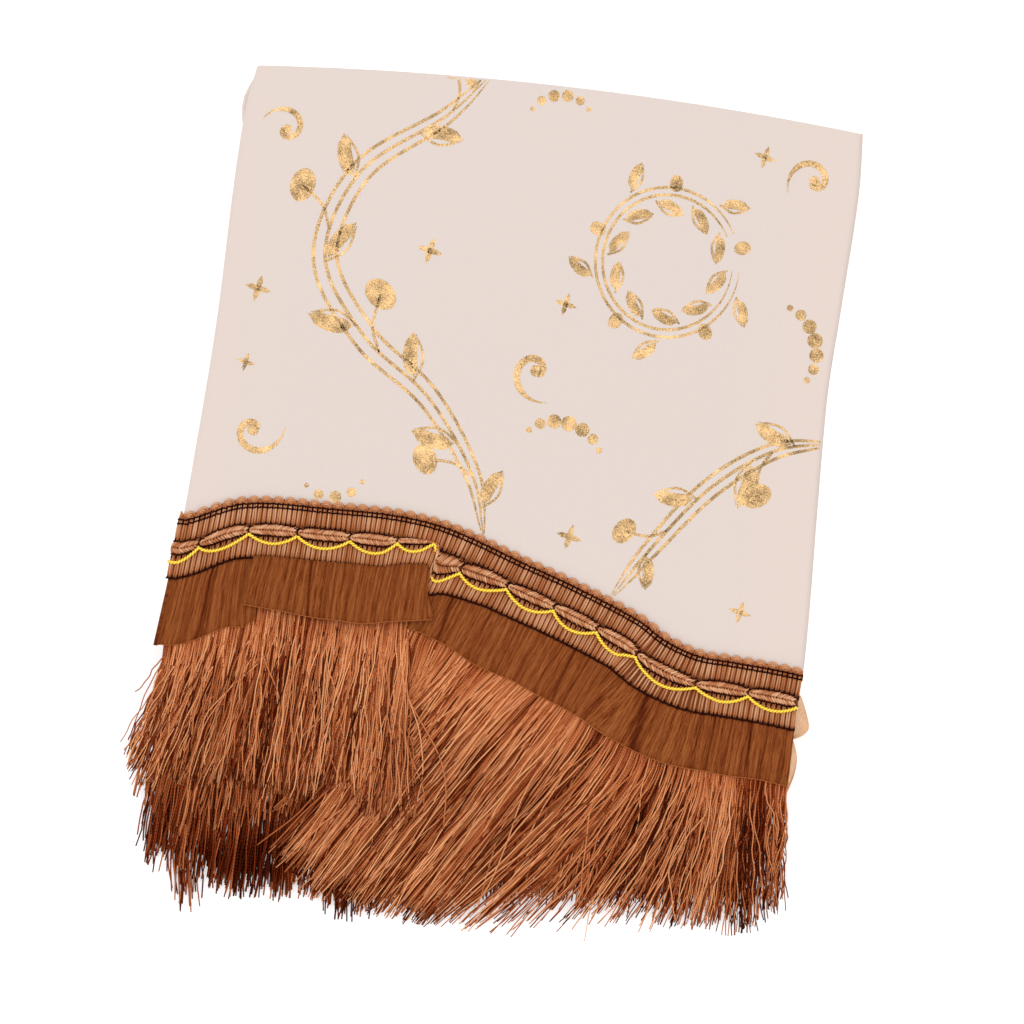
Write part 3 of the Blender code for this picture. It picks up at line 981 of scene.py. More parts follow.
def turned(x, depth, angle, places, size=1.0):
    """Places of a motif, turned by an angle in degrees and moved."""
    c = math.cos(math.radians(angle)) * size
    s = math.sin(math.radians(angle)) * size
    return [(x + u * c - v * s, depth + u * s + v * c) for u, v in places]


def leaf(foil, x, depth, angle, length):
    """A full leaf on a short stalk, with one open line beside it."""
    wide = length * 0.2
    blade = bent_line([(length * 0.1, 0), (length * 0.5, -wide * 0.35), (length, 0)])
    foil.ribbon(turned(x, depth, angle, blade), length * 0.2, 0.05, 0.03, 1.5)
    side = bent_line([(0, 0), (length * 0.45, wide), (length * 0.95, wide * 0.25)])
    foil.ribbon(turned(x, depth, angle, side), 1.3, 0.6, 0.2)


def curl(foil, x, depth, angle, size):
    """A tendril that winds in on itself, with a bead at its heart."""
    path = []
    for step in range(34):
        bend = 0.19 * step
        reach = 13.5 * math.exp(-0.3 * bend)
        path.append((reach * math.cos(bend), reach * math.sin(bend)))
    foil.ribbon(turned(x, depth, angle, path, size), 2.2 * size, 0.1, 0.5, 1.3)
    foil.disc(x, depth, 4.6 * size, 4.6 * size, 0)


def bead_arc(foil, x, depth, angle, size, count):
    """Beads along a bow, the largest in its middle."""
    for index in range(count):
        share = index / (count - 1)
        bend = math.pi * (0.15 + 0.7 * share)
        place_of_one = (-17 * math.cos(bend), -13 * math.sin(bend))
        across = (2.6 + 3.8 * math.sin(math.pi * share)) * size
        foil.disc(*turned(x, depth, angle, [place_of_one], size)[0], across, across, 0)


def star(foil, x, depth, size):
    for angle in (0, 90):
        line = turned(x, depth, angle + 12, bent_line([(-size, 0), (0, 0), (size, 0)]))
        foil.ribbon(line, size * 0.32, 0.05, 0.05, 1.3)


def heading_at(line, share):
    """The place at a share along a line, and its heading in degrees."""
    at = min(int(share * (len(line) - 1)), len(line) - 2)
    x, depth = line[at]
    return x, depth, math.degrees(math.atan2(line[at + 1][1] - depth, line[at + 1][0] - x))


def spray(foil, route, leaves, berries, line, apart):
    """Trailing stems side by side, with leaves and berries on both sides."""
    stem = bent_line(route, 16)
    for offset in (-1, 0, 1):
        beside = []
        for index in range(len(stem)):
            share = index / (len(stem) - 1)
            x, depth, heading = heading_at(stem, share)
            away = offset * apart * math.sin(math.pi * share) ** 0.6
            beside += turned(x, depth, heading, [(0, away)])
        foil.ribbon(beside, line, 0.4, 0.2, 1.2)
    for index, (share, side, length) in enumerate(leaves):
        x, depth, heading = heading_at(stem, share)
        leaf(foil, x, depth, heading + side * (38 + 6 * (index % 3)), length)
    for share, side, length, across in berries:
        x, depth, heading = heading_at(stem, share)
        curl_line = [(0, 0), (length * 0.5, side * length * 0.32), (length * 0.85, side * length * 0.95)]
        path = turned(x, depth, heading, bent_line(curl_line))
        foil.ribbon(path, line, 0.6, 0.8)
        foil.disc(*path[-1], across, across * 0.74, heading)


def wreath(foil, x, depth, radius, count, line):
    """Two thin rings with leaves round them."""
    for share in (1.0, 0.9):
        bends = [math.tau * i / 60 for i in range(56)]
        reach = radius * share
        ring = [(x + reach * math.cos(bend), depth + reach * math.sin(bend)) for bend in bends]
        foil.ribbon(ring, line, 0.2, 0.4)
    for index in range(count):
        bend = math.tau * index / count
        out = 1.06 if index % 2 else 0.84
        spot = (x + radius * out * math.cos(bend), depth + radius * out * math.sin(bend))
        if index % 4 == 3:
            foil.disc(*spot, 9, 7, math.degrees(bend))
        else:
            leaf(foil, *spot, math.degrees(bend) + (52 if index % 2 else 128), 17)


SPRAYS = (
    (
        ((150, 238), (140, 206), (112, 168), (74, 140), (48, 100), (62, 54), (104, 22), (128, -4)),
        ((0.07, 1, 24), (0.2, -1, 27), (0.33, 1, 26), (0.45, -1, 28), (0.57, 1, 26),
         (0.7, -1, 26), (0.82, 1, 24), (0.93, -1, 20)),
        ((0.14, -1, 22, 17), (0.4, 1, 24, 19), (0.62, -1, 22, 18), (0.88, -1, 18, 15)),
        6.5,
    ),
    (
        ((331, 168), (300, 176), (268, 200), (240, 236), (222, 264)),
        ((0.16, 1, 25), (0.34, -1, 27), (0.56, 1, 24), (0.78, -1, 20)),
        ((0.26, -1, 20, 17), (0.68, 1, 18, 15)),
        5.0,
    ),
)
WREATHS = ((232, 84, 39, 20),)
CURLS = ((20, 196, -12, 1.3), (168, 148, 64, 1.3), (306, 30, 148, 1.2), (20, 34, 200, 1.1))
BEAD_ARCS = ((186, 190, 10, 1.3, 7), (300, 120, 70, 1.3, 7), (66, 214, 170, 1.0, 5), (166, 18, -6, 1.0, 6))
STARS = ((104, 92, 7), (196, 234, 7), (292, 264, 6), (180, 112, 6), (14, 120, 7), (278, 22, 6), (12, 160, 5))


def build_print(settings):
    """A print of this script's own: sprays of leaves, a wreath, curls, beads and stars."""
    foil = Print()
    line = settings.line / MM
    for route, leaves, berries, apart in SPRAYS:
        spray(foil, route, leaves, berries, line, apart)
    for motif in WREATHS:
        wreath(foil, *motif, line)
    for motif in CURLS:
        curl(foil, *motif)
    for motif in BEAD_ARCS:
        bead_arc(foil, *motif)
    for motif in STARS:
        star(foil, *motif)
    return foil.piece(foil_look(settings))


def laid(x, down, off):
    """A point of the trim on the top panel, with its lower half moved beside the pleat.

    Left of the panel's start, the trim goes on round the last turn.
    """
    shift = curve_through(LOWER_SHIFT, max(x, TRIM_START)) * smooth_share(11, 19, down)
    if x < TRIM_START:
        return trim_point((TOP_PANEL - 1, 1.0, math.pi - (TRIM_START - x) / TURN_REACH), down + shift, off)
    return trim_point((TOP_PANEL, top_share(x), None), down + shift, off)


def spread(start, end, pitch):
    """Even places between two ends, about a pitch apart."""
    count = max(round((end - start) / pitch), 1)
    return [start + (end - start) * i / count for i in range(count + 1)]


def build_tape(settings, look):
    """The braid's own tape, all along the trim: ribbed below the top panel, plain behind its ribs."""
    rows = spread(-0.4, BRAID_DEPTH, 1.6)
    points = []
    shades = []
    count = 0
    for station in stations(320, [], 10):
        along = station[1] * SHOWN_LENGTH
        rib = 0.5 + 0.5 * math.cos(math.tau * along / RIB_PITCH)
        for down in rows:
            points.append(trim_point(station, down, BRAID_OFF + 0.4 * rib))
            # Painted shade: the tape is darker in the grooves between its ribs
            shades.append(0.2 + 0.5 * rib)
        count += 1
    for x in spread(TRIM_START, TRIM_END, 1.6):
        for down in rows:
            points.append(laid(x, down, BRAID_OFF))
            # Painted shade: the plain tape behind the ribs is dark, so the gaps between the ribs look shaded
            shades.append(0.12)
        count += 1
    piece = add_piece(
        "braid_tape", points, grid_faces(count, len(rows)), look, "braid_yarn", shade=shades
    )
    thicken(piece, settings.tape_thickness)
    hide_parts("braid")
    return piece


def build_ribs(look):
    """Pairs of upright yarns, in a row above the pads and a row below them."""
    yarns = Tubes(6)
    chance = random.Random(5)
    for top, bottom in RIB_ROWS:
        for middle in spread(WRAP_START, TRIM_END - 1.2, RIB_PITCH):
            for side in (-0.5, 0.5):
                x = middle + side + chance.uniform(-0.1, 0.1)
                tone = chance.uniform(0.45, 0.8)
                lean = chance.uniform(-0.3, 0.3)
                path = []
                shades = []
                for step in range(6):
                    t = step / 5
                    arch = math.sin(math.pi * (0.08 + 0.84 * t))
                    down = between(top, bottom, t)
                    path.append(laid(x + lean * (t - 0.5), down, BRAID_OFF + 0.35 + 0.5 * arch))
                    # Painted shade: each yarn is darker where it dips in at its ends and lighter where it
                    # arches up; its tone also differs at random
                    shades.append(tone * (0.45 + 0.6 * arch))
                yarns.add(path, RIB_RADIUS * chance.uniform(0.88, 1.1), shades)
    return yarns.piece("braid_ribs", look, "braid_yarn")


def build_picots(look):
    """Small loops of yarn that stand out from the braid's upper edge."""
    loops = Tubes(6)
    steps = 10
    for middle in spread(WRAP_START, TRIM_END - PICOT_PITCH / 2, PICOT_PITCH):
        for reach, half, radius in PICOT_YARNS:
            path = []
            shades = []
            for step in range(steps + 1):
                bend = math.pi * step / steps
                down = 1.5 - reach * math.sin(bend)
                path.append(laid(middle - half * math.cos(bend), down, BRAID_OFF + 0.35))
                # Painted shade: each loop is darker at its roots and lighter at its outer tip
                shades.append(0.35 + 0.4 * math.sin(bend))
            loops.add(path, radius, shades)
    return loops.piece("braid_picots", look, "braid_yarn")


def build_pads(look):
    """Leaf-shaped chenille pads: slanting tufts in two rows that meet like a feather's."""
    tufts = Tubes(6)
    chance = random.Random(8)
    for start, end in zip(JUNCTIONS[:-1], JUNCTIONS[1:], strict=True):
        for x in spread(start + 1.5, end - 1.5, PAD_PITCH):
            if not WRAP_START < x < TRIM_END - 1:
                continue
            t = (x - start) / (end - start)
            half = PAD_HALF * math.sin(math.pi * (0.05 + 0.9 * t)) ** 0.38
            crown = 0.8 * math.sin(math.pi * (0.1 + 0.8 * t)) ** 0.6
            for side in (-1, 1):
                tone = chance.uniform(0.5, 0.98)
                slant = chance.uniform(2.6, 3.6)
                ragged = half * chance.uniform(0.9, 1.12)
                path = []
                for part in range(5):
                    q = part / 4
                    lift = 0.8 + crown * math.cos(q * math.pi / 2)
                    down = PAD_MIDDLE + side * ragged * (q + 0.05)
                    path.append(laid(x + slant * (q - 0.5), down, BRAID_OFF + lift))
                # Painted shade: each tuft is darker where it starts at the pad's middle and darkest at its
                # outer tip; its tone also differs at random
                shades = [tone * 0.55, tone, tone, tone * 0.8, tone * 0.35]
                tufts.add(path, PAD_YARN_RADIUS * chance.uniform(0.9, 1.1), shades, 0.75)
    return tufts.piece("braid_pads", look, "braid_yarn")


def build_stitches(settings):
    """Dark chain stitches along the rows of the braid, with ticks across, and one where two pads meet."""
    look = yarn_look("sewing_thread", settings.stitch_colour, 0.5, 2.4, 0.5)
    thread = Tubes(5)
    chance = random.Random(21)
    half = RIB_PITCH / 2
    stitch_radius, tick_radius, joint_radius = STITCH_RADII
    for row, level in enumerate(STITCH_ROWS):
        for middle in spread(WRAP_START, TRIM_END - half, RIB_PITCH):
            near = min(abs(middle - joint) for joint in JUNCTIONS)
            down = level + bell(near, 0, 3.2, STITCH_DIPS.get(row, 0))
            wobble = chance.uniform(-0.2, 0.2)
            path = []
            for part in (-2, -1, 0, 1, 2):
                lift = 1.25 - 0.45 * (part / 2) ** 2
                path.append(laid(middle + part * 0.55 * half, down + wobble * part, BRAID_OFF + lift))
            thread.add(path, stitch_radius, chance.uniform(0.2, 0.7))
            if row in STITCH_TICKS:
                start, end = STITCH_TICKS[row]
                path = [
                    laid(middle + half, down + start + (end - start) * t, BRAID_OFF + 0.8 + 0.4 * t)
                    for t in (0, 0.5, 1)
                ]
                thread.add(path, tick_radius, 0.4)
    for joint in JUNCTIONS[1:-1]:
        path = [laid(joint, PAD_MIDDLE + down, BRAID_OFF + 1.5) for down in (-2.4, 0, 2.8)]
        thread.add(path, joint_radius, 0.4)
    return thread.piece("braid_stitches", look, "braid_yarn")


def shown_route(sag):
    """The cord's scallops on the top panel; it dives behind the braid at the pleat's edge."""
    route = []
    for x in spread(WRAP_START, TRIM_END, 0.4):
        left = max(joint for joint in JUNCTIONS if joint <= x)
        right = min(joint for joint in JUNCTIONS if joint > x)
        hang = sag * math.sin(math.pi * (x - left) / (right - left)) ** 0.8
        route.append(laid(x, CORD_JUNCTION + hang, CORD_OFF + 0.1 - bell(x, *CORD_DIVE)))
    return route


def under_route(sag):
    """The cord's scallops on the panels below the top one and round their turns."""
    route = []
    for panel, share, angle in stations(240, [], 12):
        if panel == TOP_PANEL - 1 and angle is not None and angle > 1.2:
            break
        hang = 0 if angle is not None else sag * abs(math.sin(math.pi * share * 13)) ** 0.8
        off = CORD_OFF if angle is None or front_is_up(panel) else BRAID_OFF - 0.5
        route.append(trim_point((panel, share, angle), CORD_JUNCTION + hang, off))
    return route


def build_cord(settings):
    """Two gold threads twisted round each other, sewn down in scallops."""
    look = cord_look(settings)
    radius = settings.cord_diameter / 4
    sag = settings.cord_sag / MM
    pieces = []
    for name, route, (sides, lay) in (
        ("cord_shown", shown_route(sag), CORD_SHOWN), ("cord_under", under_route(sag), CORD_UNDER),
    ):
        cord = Tubes(sides)
        for phase in (0, math.pi):
            path = []
            shades = []
            travelled = 0.0
            for index, point in enumerate(route):
                ahead = route[min(index + 1, len(route) - 1)] - route[max(index - 1, 0)]
                ahead.normalize()
                across = Vector((ahead.y, -ahead.x, 0)).normalized()
                up = across.cross(ahead)
                if index:
                    travelled += (point - route[index - 1]).length / MM
                angle = math.tau * travelled / lay + phase
                path.append(point + radius * 0.95 * (math.cos(angle) * across + math.sin(angle) * up))
                # Painted shade: each thread is lighter where it lies on top of the twist and darker where it
                # turns under
                shades.append(0.58 + 0.34 * math.sin(angle))
            cord.add(path, radius * 1.1, shades)
        pieces.append(cord.piece(name, look, "gold_thread"))
    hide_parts("gold_cord")
    return pieces


def pleated_path():
    """(x, lift) across the top panel's band: its middle lies over both of its neighbours."""
    left, right = PLEAT_EDGES
    inner = left + PLEAT_UNDERLAY
    outer = right - PLEAT_UNDERLAY
    bend = PLEAT_PITCH / 2

    def run(start, end, lift):
        steps = max(round(abs(end - start) / 0.6), 1)
        return [(start + (end - start) * i / steps, lift) for i in range(steps + 1)]

    def hook(x, lift, side):
        return [
            (x + side * bend * math.sin(math.pi * i / 5), lift - bend * math.cos(math.pi * i / 5))
            for i in range(1, 5)
        ]

    path = run(top_x(0), inner - bend, 0) + hook(inner - bend, bend, 1)
    path += run(inner - bend, left + bend, 2 * bend) + hook(left + bend, 3 * bend, -1)
    path += run(left + bend, right - bend, 4 * bend)
    path += [(x, 6 * bend - lift) for x, lift in hook(right - bend, 3 * bend, 1)]
    path += run(right - bend, outer + bend, 2 * bend)
    path += [(x, 2 * bend - lift) for x, lift in hook(outer + bend, bend, -1)]
    return path + run(outer + bend, top_x(1), 0)


def band_ripple(along, share):
    """Uneven gathers, tight at the seam and looser towards the free edge."""
    tight = math.sin(along * 3.3 + 2.1 * math.sin(along / 3.7)) * (1 - 0.6 * share)
    middling = math.sin(along * 1.75 + 3.5 * math.sin(along / 6.1 + 1) + 1.6 * share)
    wide = math.sin(along * 0.52 + 3 * math.sin(along / 17)) * (0.25 + 0.6 * share)
    return 0.36 * tight + 0.3 * middling + 0.32 * wide


def crease(x, share):
    """Deep creases of the organza: how far each one sinks in at this x."""
    sunk = 0.0
    for middle, width, lean in BAND_CREASES:
        sunk = max(sunk, bell(x - middle - lean * share, 0, width))
    return sunk


def build_band(settings):
    """Gathered organza all along the trim, with a raised pleat on the top panel."""
    look = organza_look(settings.band_colour)
    depth = settings.band_depth / MM
    steps = 12
    points = []
    shades = []
    lengths = []
    downs = []
    columns = 0
    for station in stations(110, [], 10):
        reach = depth
        flare = 0.0
        if station[0] == TOP_PANEL - 1 and station[2] is not None:
            reach += (LEFT_EDGE[0][1] - depth) * smooth_share(0, 0.5 * math.pi, station[2])
            flare = LEFT_FLARE * smooth_share(0, 0.7 * math.pi, station[2]) / math.sin(station[2])
        for fall in even_shares(steps):
            ripple = band_ripple(station[1] * SHOWN_LENGTH, fall)
            down = BAND_TOP + (reach - BAND_TOP) * fall
            points.append(trim_point(station, down, BRAID_OFF + ripple * 0.3, flare * fall))
            # Painted shade: the gathers are lighter on their crests and darker in their troughs
            shades.append(0.5 + 0.4 * ripple)
            lengths.append(station[1] * SHOWN_LENGTH)
            downs.append(fall * BRAID_DEPTH)
        columns += 1
    raised = 2 * PLEAT_PITCH
    edges = {"left": [], "top": [], "right": []}
    for x, lift in pleated_path():
        on_pleat = lift > raised * 0.9
        beside = lift < 0.05
        on_left = x < 80
        lower = curve_through((LEFT_EDGE if on_left else RIGHT_EDGE) if beside else PLEAT_EDGE, x)
        waves = 0.35 * math.sin(x / 11.0) + 0.22 * math.sin(x / 4.7 + 1)
        lower += waves - (0 if beside or on_pleat else 1.5)
        top = BAND_TOP + curve_through(LOWER_SHIFT, x if lift > 0.1 or on_left else max(x, 129.5))
        for fall in even_shares(steps):
            ripple = band_ripple(x + lift * 3, fall)
            sunk = crease(x, fall)
            rise = lift * (1 + (0.2 + 0.5 * smooth_share(90, 130, x)) * fall)
            flare = -LEFT_FLARE * fall * smooth_share(24, TRIM_START, x)
            if not beside:
                flare = PLEAT_FLARE[1] * smooth_share(96, 132, x) - PLEAT_FLARE[0] * smooth_share(60, 28, x)
                flare *= fall
            points.append(trim_point(
                (TOP_PANEL, top_share(x), None), top + (lower - top) * fall,
                BRAID_OFF + rise + ripple * 0.4 - 0.5 * sunk + 0.25, 0.0, flare,
            ))
            # Painted shade: lighter on the crests of the gathers, darker in their troughs and darker still
            # in the deep creases
            shades.append(0.5 + 0.42 * ripple - 0.6 * sunk)
            lengths.append(x + 2 * lift)
            downs.append(fall * BRAID_DEPTH)
        if beside or on_pleat:
            edges["top" if on_pleat else "left" if on_left else "right"].append(points[-1].copy())
        columns += 1
    piece = add_piece(
        "organza_gathers", points, grid_faces(columns, steps + 1), look, "organza",
        shade=shades, along=lengths, down=downs,
    )
    thicken(piece, settings.organza_thickness)
    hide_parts("organza_band")
    selvedge = Tubes(5)
    for edge in edges.values():
        selvedge.add(edge, SELVEDGE_RADIUS, 0.8)
    light = yarn_look("organza_selvedge", scaled(settings.band_colour, (1.6, 2.0, 3.0)), 0.7, 1.3, 0.5)
    selvedge.piece("organza_selvedge", light, "organza")
    return piece


def build_loops(settings):
    """Two loops of single organza, where the band turns back on the right side."""
    turn_steps = 28
    rows = 18
    points = []
    faces = []
    rims = Tubes(5)
    for outline, (low, high) in LOOPS:
        first = len(points)
        start = outline[0][0]
        end = outline[-1][0]
        for fall in even_shares(rows):
            depth = start + (end - start) * fall
            reach = curve_through(outline, depth) - LOOP_ROOT
            pinch = 0.62 + 0.38 * math.sin(math.pi * (0.1 + 0.8 * fall))
            for round_share in even_shares(turn_steps):
                bend = math.pi * round_share
                wave = 0.8 * math.sin(7 * bend + 0.12 * depth) * math.sin(bend)
                x = LOOP_ROOT + (reach + wave * 0.7) * math.sin(bend)
                z = (low + high) / 2 - (high - low) / 2 * pinch * math.cos(bend)
                points.append(in_frame(x, depth + wave, z))
        faces += grid_faces(rows + 1, turn_steps + 1, first)
        for row in (0, rows):
            edge = points[first + row * (turn_steps + 1):first + (row + 1) * (turn_steps + 1)]
            rims.add(edge, SELVEDGE_RADIUS, 0.9)
        rims.add(points[first + turn_steps // 2::turn_steps + 1], SELVEDGE_RADIUS * 1.6, 0.7)
    piece = add_piece("organza_loops", points, faces, sheer_look(), "organza")
    thicken(piece, settings.organza_thickness)
    light = yarn_look("loop_selvedge", LOOP_RIM, 0.7, 1.2, 0.5)
    rims.piece("loop_selvedge", light, "organza")
    return piece


def strand_path(root, edge, tip, power, steps, chance, wave, rise, lie):
    """A strand from its root, flat as far as the organza's edge, then loose to its tip.

    The root and edge are (x, depth), and the tip has its height above the layer that it lies on too.
    """
    turns = chance.uniform(0.5, 1.4)
    phase = chance.uniform(0, math.tau)
    kink = chance.uniform(0.1, 0.75)
    loft = abs(chance.gauss(0, 1.0))
    level, end_level = tip[2], tip[3]
    path = [in_frame(*root, lie(root[1]) + level)]
    for step in range(steps):
        t = step / (steps - 1)
        loose = smooth_share(0, 0.35, t)
        x = edge[0] + (tip[0] - edge[0]) * t**power
        x += wave * math.sin(turns * math.tau * t + phase) * loose
        x += kink * math.sin((19 + 5 * turns) * t + 2 * phase) * loose
        depth = edge[1] + (tip[1] - edge[1]) * t
        height = level * (1 - t) + end_level * t + loft * math.sin(math.pi * t) * loose
        height += rise * smooth_share(0, 0.14, t)
        path.append(in_frame(x, depth, max(lie(depth) + height, 0.6)))
    return path


def make_locks(start, end, chance):
    """Locks side by side: start, end, drift, length, height, tone and how tight each one is."""
    locks = []
    at = start
    while at < end:
        width = chance.uniform(*LOCK_WIDTH)
        locks.append((
            at, at + width, chance.gauss(0, LOCK_DRIFT), chance.gauss(0, 2.5), chance.uniform(-0.35, 0.35),
            chance.gauss(0, 0.04), chance.uniform(0, 0.3),
        ))
        at += width
    return locks


def in_lock(locks, x):
    """The lock that a root belongs to."""
    return next((lock for lock in locks if lock[0] <= x < lock[1]), locks[-1])


def tip_of(x, table, lock, drop, loose, ragged, chance):
    """A strand's tip x, tip depth and power, from the table of its tips and its lock."""
    start, end, drift, _, _, _, tight = lock
    tip_x, tip_depth, power = (curve_through(table, x, column) for column in (1, 2, 3))
    tip_x += drift + ((start + end) / 2 - x) * tight + chance.gauss(0, loose)
    tip_depth += drop + chance.uniform(*ragged)
    return tip_x, tip_depth, power


def top_strand(x, level, locks, chance):
    """The path of one strand of the top panel; its level is 0 at the bottom of the layer and 1 on top."""
    lock = in_lock(locks, x)
    table = PLEAT_TIPS if x < PLEAT_END else SWEPT_TIPS
    tip_x, tip_depth, power = tip_of(x, table, lock, lock[3], 4.0, (-13, 0.5), chance)
    if chance.random() < 0.1:
        tip_depth -= chance.uniform(5, 40)
    if PLEAT_FRAY < x < PLEAT_END:
        tip_x += chance.uniform(-6, 13)
    wave = chance.uniform(0.4, 2.6)
    if chance.random() < STRAY_SHARE and level > 0.6:
        tip_x += chance.uniform(-26, 26)
        wave = chance.uniform(3, 7)
        level = 1.15
    root = x_and_depth(laid(x, STRAND_ROW + chance.uniform(-1, 1), STRAND_OFF))
    edge = x_and_depth(laid(x, BAND_ROW + (4 if x < PLEAT_EDGES[0] else 0), STRAND_OFF))
    height = between(*LAYER_LEVELS, level)
    end_height = height + 0.6 * lock[4] + chance.uniform(-1.5, 0.9)
    on_pleat = PLEAT_EDGES[0] < x < PLEAT_END
    return strand_path(
        root, edge, (tip_x, tip_depth, height + STRAND_OFF, end_height),
        power, SHOWN_STEPS, chance, wave, PLEAT_RISE if on_pleat else 0.0,
        lambda depth: panel_height(TOP_PANEL, round(depth, 1)),
    )


def build_fringe(settings):
    """Thousands of thin strands: the top panel's in two pieces, and those of the panels below."""
    look = strand_look(settings)
    chance = random.Random(settings.seed)
    radius = settings.strand_diameter / 2
    pieces = []
    half = settings.shown_strands // 2
    for name, low, high in (("strands_shown_lower", 0.0, 0.5), ("strands_shown_upper", 0.5, 1.0)):
        strands = Tubes(STRAND_SIDES)
        locks = make_locks(TRIM_START, TRIM_END, chance)
        for index in range(half):
            x = top_x((index + chance.random()) / half)
            level = chance.uniform(low, high)
            path = top_strand(x, level, locks, chance)
            # Painted shade: a strand is darker the lower it lies in the layer, darker near the right side,
            # and darker near its root in the organza's shade; its tone also differs at random by lock and
            # strand
            tone = TONE_LOW + TONE_RANGE * level**TONE_POWER + in_lock(locks, x)[5] + chance.gauss(0, 0.19)
            tone = min(max(tone - bell(x, *RIGHT_SHADE), 0.02), 1.0)
            shaded = chance.uniform(*SHADED)
            shades = [tone * (shaded + (1 - shaded) * smooth_share(0, 6, ring)) for ring in range(len(path))]
            strands.add(path, radius * chance.uniform(0.8, 1.12), shades, 0.75)
        pieces.append(strands.piece(name, look, "fringe_yarn"))
    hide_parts("fringe")
    strands = Tubes(STRAND_SIDES)
    for panel, (table, further, tone) in enumerate(UNDER_LAYERS):
        locks = make_locks(TRIM_START - 4, TRIM_END + 4, chance)
        up = 1 if front_is_up(panel) else -1
        for index in range(settings.under_strands):
            station = (panel, (index + chance.random()) / settings.under_strands, None)
            x, depth = x_and_depth(trim_point(station, STRAND_ROW, STRAND_OFF))
            lock = in_lock(locks, x)
            tip_x, tip_depth, power = tip_of(x, table, lock, further + lock[3] * 0.7, 3.0, (-14, 1), chance)
            first, last = TUFT_ROOTS
            if panel == TUFT_PANEL and first < x < last:
                tip_x = between(*TUFT_TIPS, (x - first) / (last - first)) + chance.gauss(0, 1.5)
                tip_depth = TUFT_DEPTH + chance.uniform(-12, 4)
            path = strand_path(
                (x, depth), (x, depth + 20),
                (tip_x, tip_depth, STRAND_OFF * up, STRAND_OFF * up + chance.uniform(-1, 1.2)),
                power, UNDER_STEPS, chance, chance.uniform(0.3, 2.4), 0.0,
                lambda depth, panel=panel: panel_height(panel, round(depth, 1)),
            )
            # Painted shade: the strands of lower panels are darker by their panel's tone; the rest of their
            # tone differs at random
            shade = tone + lock[5] + chance.gauss(0, 0.17)
            shades = []
            for across, down in map(x_and_depth, path):
                # Painted shade: the hollow low on the left darkens the lower panels' strands
                sunk = bell(across, *HOLLOW_ACROSS) * bell(down, *HOLLOW_DOWN) if table is LOW_TIPS else 0
                shades.append(min(max(shade - sunk, 0.0), 1.0))
            strands.add(path, radius * UNDER_THICKER, shades, 0.7)
    pieces.append(strands.piece("strands_under", look, "fringe_yarn"))
    return pieces


def build_heading(look):
    """The heading tape that holds the strands, behind the organza."""
    columns = stations(60, even_shares(120), 10)
    points = [trim_point(station, down, STRAND_OFF) for station in columns for down in HEADING_ROWS]
    faces = grid_faces(len(columns), len(HEADING_ROWS))
    piece = add_piece("fringe_heading", points, faces, look, "fringe_yarn", shade=[0.3] * len(points))
    thicken(piece, 0.0008)
    return piece


class COVER_OT_cloth(bpy.types.Operator):
    """Make the folded cloth"""

    bl_idname = "cover.cloth"
    bl_label = "Cloth"

    def execute(self, context):
        piece = build_cloth(context.scene.cover_cloth)
        return {"FINISHED"}


class COVER_OT_print(bpy.types.Operator):
    """Lay the gold foil print on the top panel"""

    bl_idname = "cover.foil_print"
    bl_label = "Foil print"

    def execute(self, context):
        build_print(context.scene.cover_print)
        return {"FINISHED"}


class COVER_OT_trim(bpy.types.Operator):
    """Make the braid, its picots, pads, stitches and gold cord"""

    bl_idname = "cover.trim"
    bl_label = "Braid and cord"

    def execute(self, context):
        settings = context.scene.cover_trim
        look = yarn_look("braid_yarn", settings.braid_colour, (0.09, 0.03, 0.02), (1.85, 3.3, 5.4))
        tape = build_tape(settings, look)
        build_ribs(look)
        build_picots(look)
        build_pads(look)
        build_stitches(settings)
        build_cord(settings)
        build_heading(look)
        return {"FINISHED"}


class COVER_OT_organza(bpy.types.Operator):
    """Make the gathered organza band"""

    bl_idname = "cover.organza"
    bl_label = "Organza"

    def execute(self, context):
        settings = context.scene.cover_trim
        build_band(settings)
        build_loops(settings)
        return {"FINISHED"}


class COVER_OT_fringe(bpy.types.Operator):
    """Make the strands of the fringe"""

    bl_idname = "cover.fringe"
    bl_label = "Fringe"

    def execute(self, context):
        build_fringe(context.scene.cover_fringe)
        return {"FINISHED"}


def add_area_light(name, power, size, location):
    """A soft light that points at the middle of the cover's underside."""
    data = bpy.data.lights.new(name, "AREA")
    data.energy = power
    data.size = size
    light = bpy.data.objects.new(name, data)
    light.location = location
    light.rotation_euler = (-Vector(location)).to_track_quat("-Z", "Y").to_euler()
    bpy.context.scene.collection.objects.link(light)


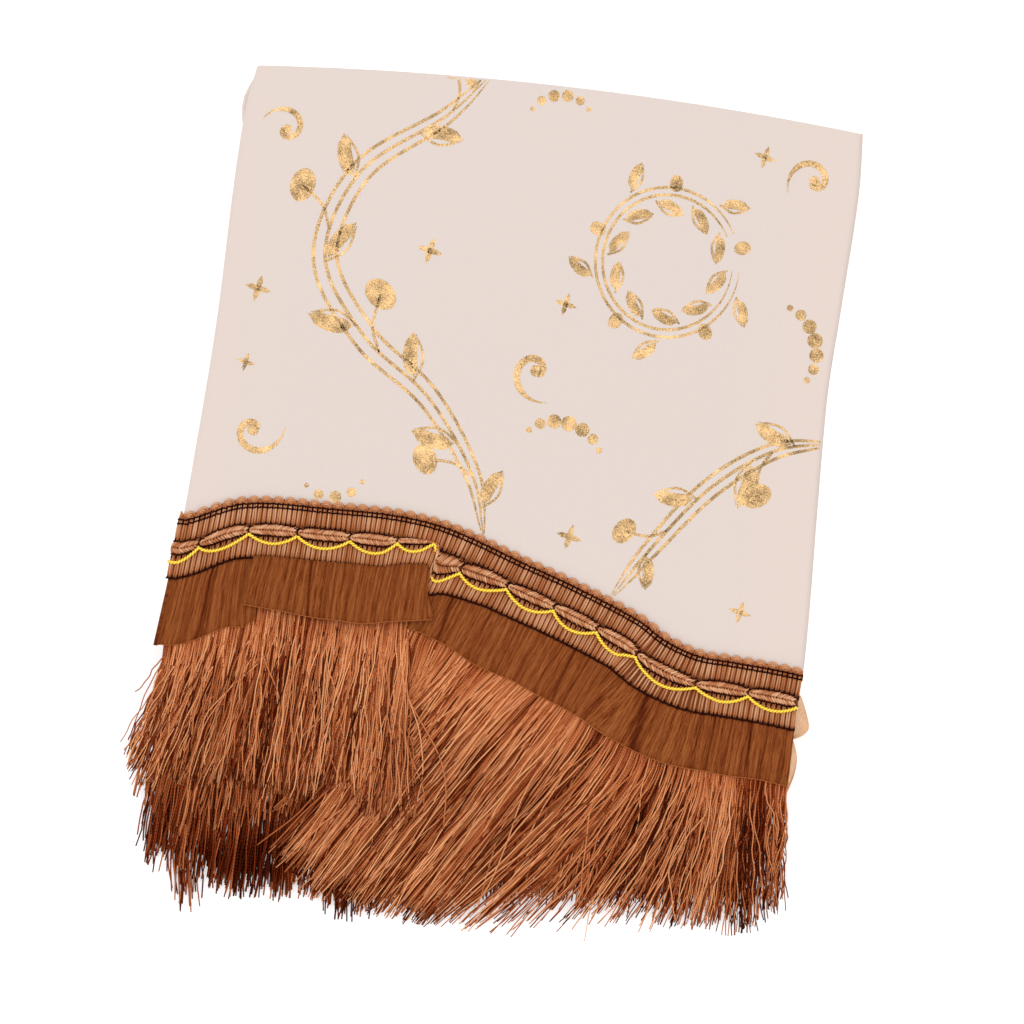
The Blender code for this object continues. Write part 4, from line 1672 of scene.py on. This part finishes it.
class COVER_OT_stage(bpy.types.Operator):
    """Make the floor, the lights and the camera"""

    bl_idname = "cover.stage"
    bl_label = "Stage"

    def execute(self, context):
        settings = context.scene.cover_stage
        mesh = bpy.data.meshes.new("floor")
        corners = ((-1, -1), (1, -1), (1, 1), (-1, 1))
        mesh.from_pydata([(x * FLOOR_HALF, y * FLOOR_HALF, 0) for x, y in corners], [], [(0, 1, 2, 3)])
        mesh.materials.append(Look(
            "floor", Base_Color=(*settings.floor_colour, 1.0), Roughness=0.9,
            Emission_Color=(1.0, 1.0, 1.0, 1.0), Emission_Strength=FLOOR_GLOW,
        ).material)
        floor = bpy.data.objects.new("floor", mesh)
        context.scene.collection.objects.link(floor)
        world = bpy.data.worlds.new("studio")
        world.use_nodes = True
        background = world.node_tree.nodes["Background"]
        background.inputs["Color"].default_value = (1.0, 1.0, 1.0, 1.0)
        background.inputs["Strength"].default_value = WORLD_STRENGTH
        context.scene.world = world
        for name, light in LIGHTS.items():
            add_area_light(name, *light)
        data = bpy.data.cameras.new("camera")
        data.lens = data.sensor_width * CAMERA_PLACE[2] / settings.field
        data.clip_end = 20
        camera = bpy.data.objects.new("camera", data)
        camera.location = CAMERA_PLACE
        camera.rotation_euler = (0, 0, settings.camera_roll)
        context.scene.collection.objects.link(camera)
        context.scene.camera = camera
        context.scene.view_settings.view_transform = "Standard"
        return {"FINISHED"}


class COVER_PT_panel(bpy.types.Panel):
    """The cover's pieces and their settings"""

    bl_idname = "COVER_PT_panel"
    bl_label = "Folded piano top cover"
    bl_space_type = "VIEW_3D"
    bl_region_type = "UI"
    bl_category = "Cover"

    def draw(self, context):
        for group in SETTINGS:
            box = self.layout.box()
            settings = getattr(context.scene, group)
            for name in settings.__annotations__:
                box.prop(settings, name)
        for operator in OPERATORS:
            self.layout.operator(operator.bl_idname)


SETTINGS = {
    "cover_cloth": ClothSettings,
    "cover_print": PrintSettings,
    "cover_trim": TrimSettings,
    "cover_fringe": FringeSettings,
    "cover_stage": StageSettings,
}
OPERATORS = (
    COVER_OT_cloth, COVER_OT_print, COVER_OT_trim, COVER_OT_organza, COVER_OT_fringe, COVER_OT_stage,
)


def register():
    for group, settings in SETTINGS.items():
        bpy.utils.register_class(settings)
        setattr(bpy.types.Scene, group, bpy.props.PointerProperty(type=settings))
    for operator in OPERATORS:
        bpy.utils.register_class(operator)
    bpy.utils.register_class(COVER_PT_panel)


def unregister():
    bpy.utils.unregister_class(COVER_PT_panel)
    for operator in reversed(OPERATORS):
        bpy.utils.unregister_class(operator)
    for group, settings in reversed(SETTINGS.items()):
        delattr(bpy.types.Scene, group)
        bpy.utils.unregister_class(settings)


def main():
    register()
    bpy.ops.cover.cloth()
    bpy.ops.cover.foil_print()
    bpy.ops.cover.trim()
    bpy.ops.cover.organza()
    bpy.ops.cover.fringe()
    bpy.ops.cover.stage()


if __name__ == "__main__":
    main()
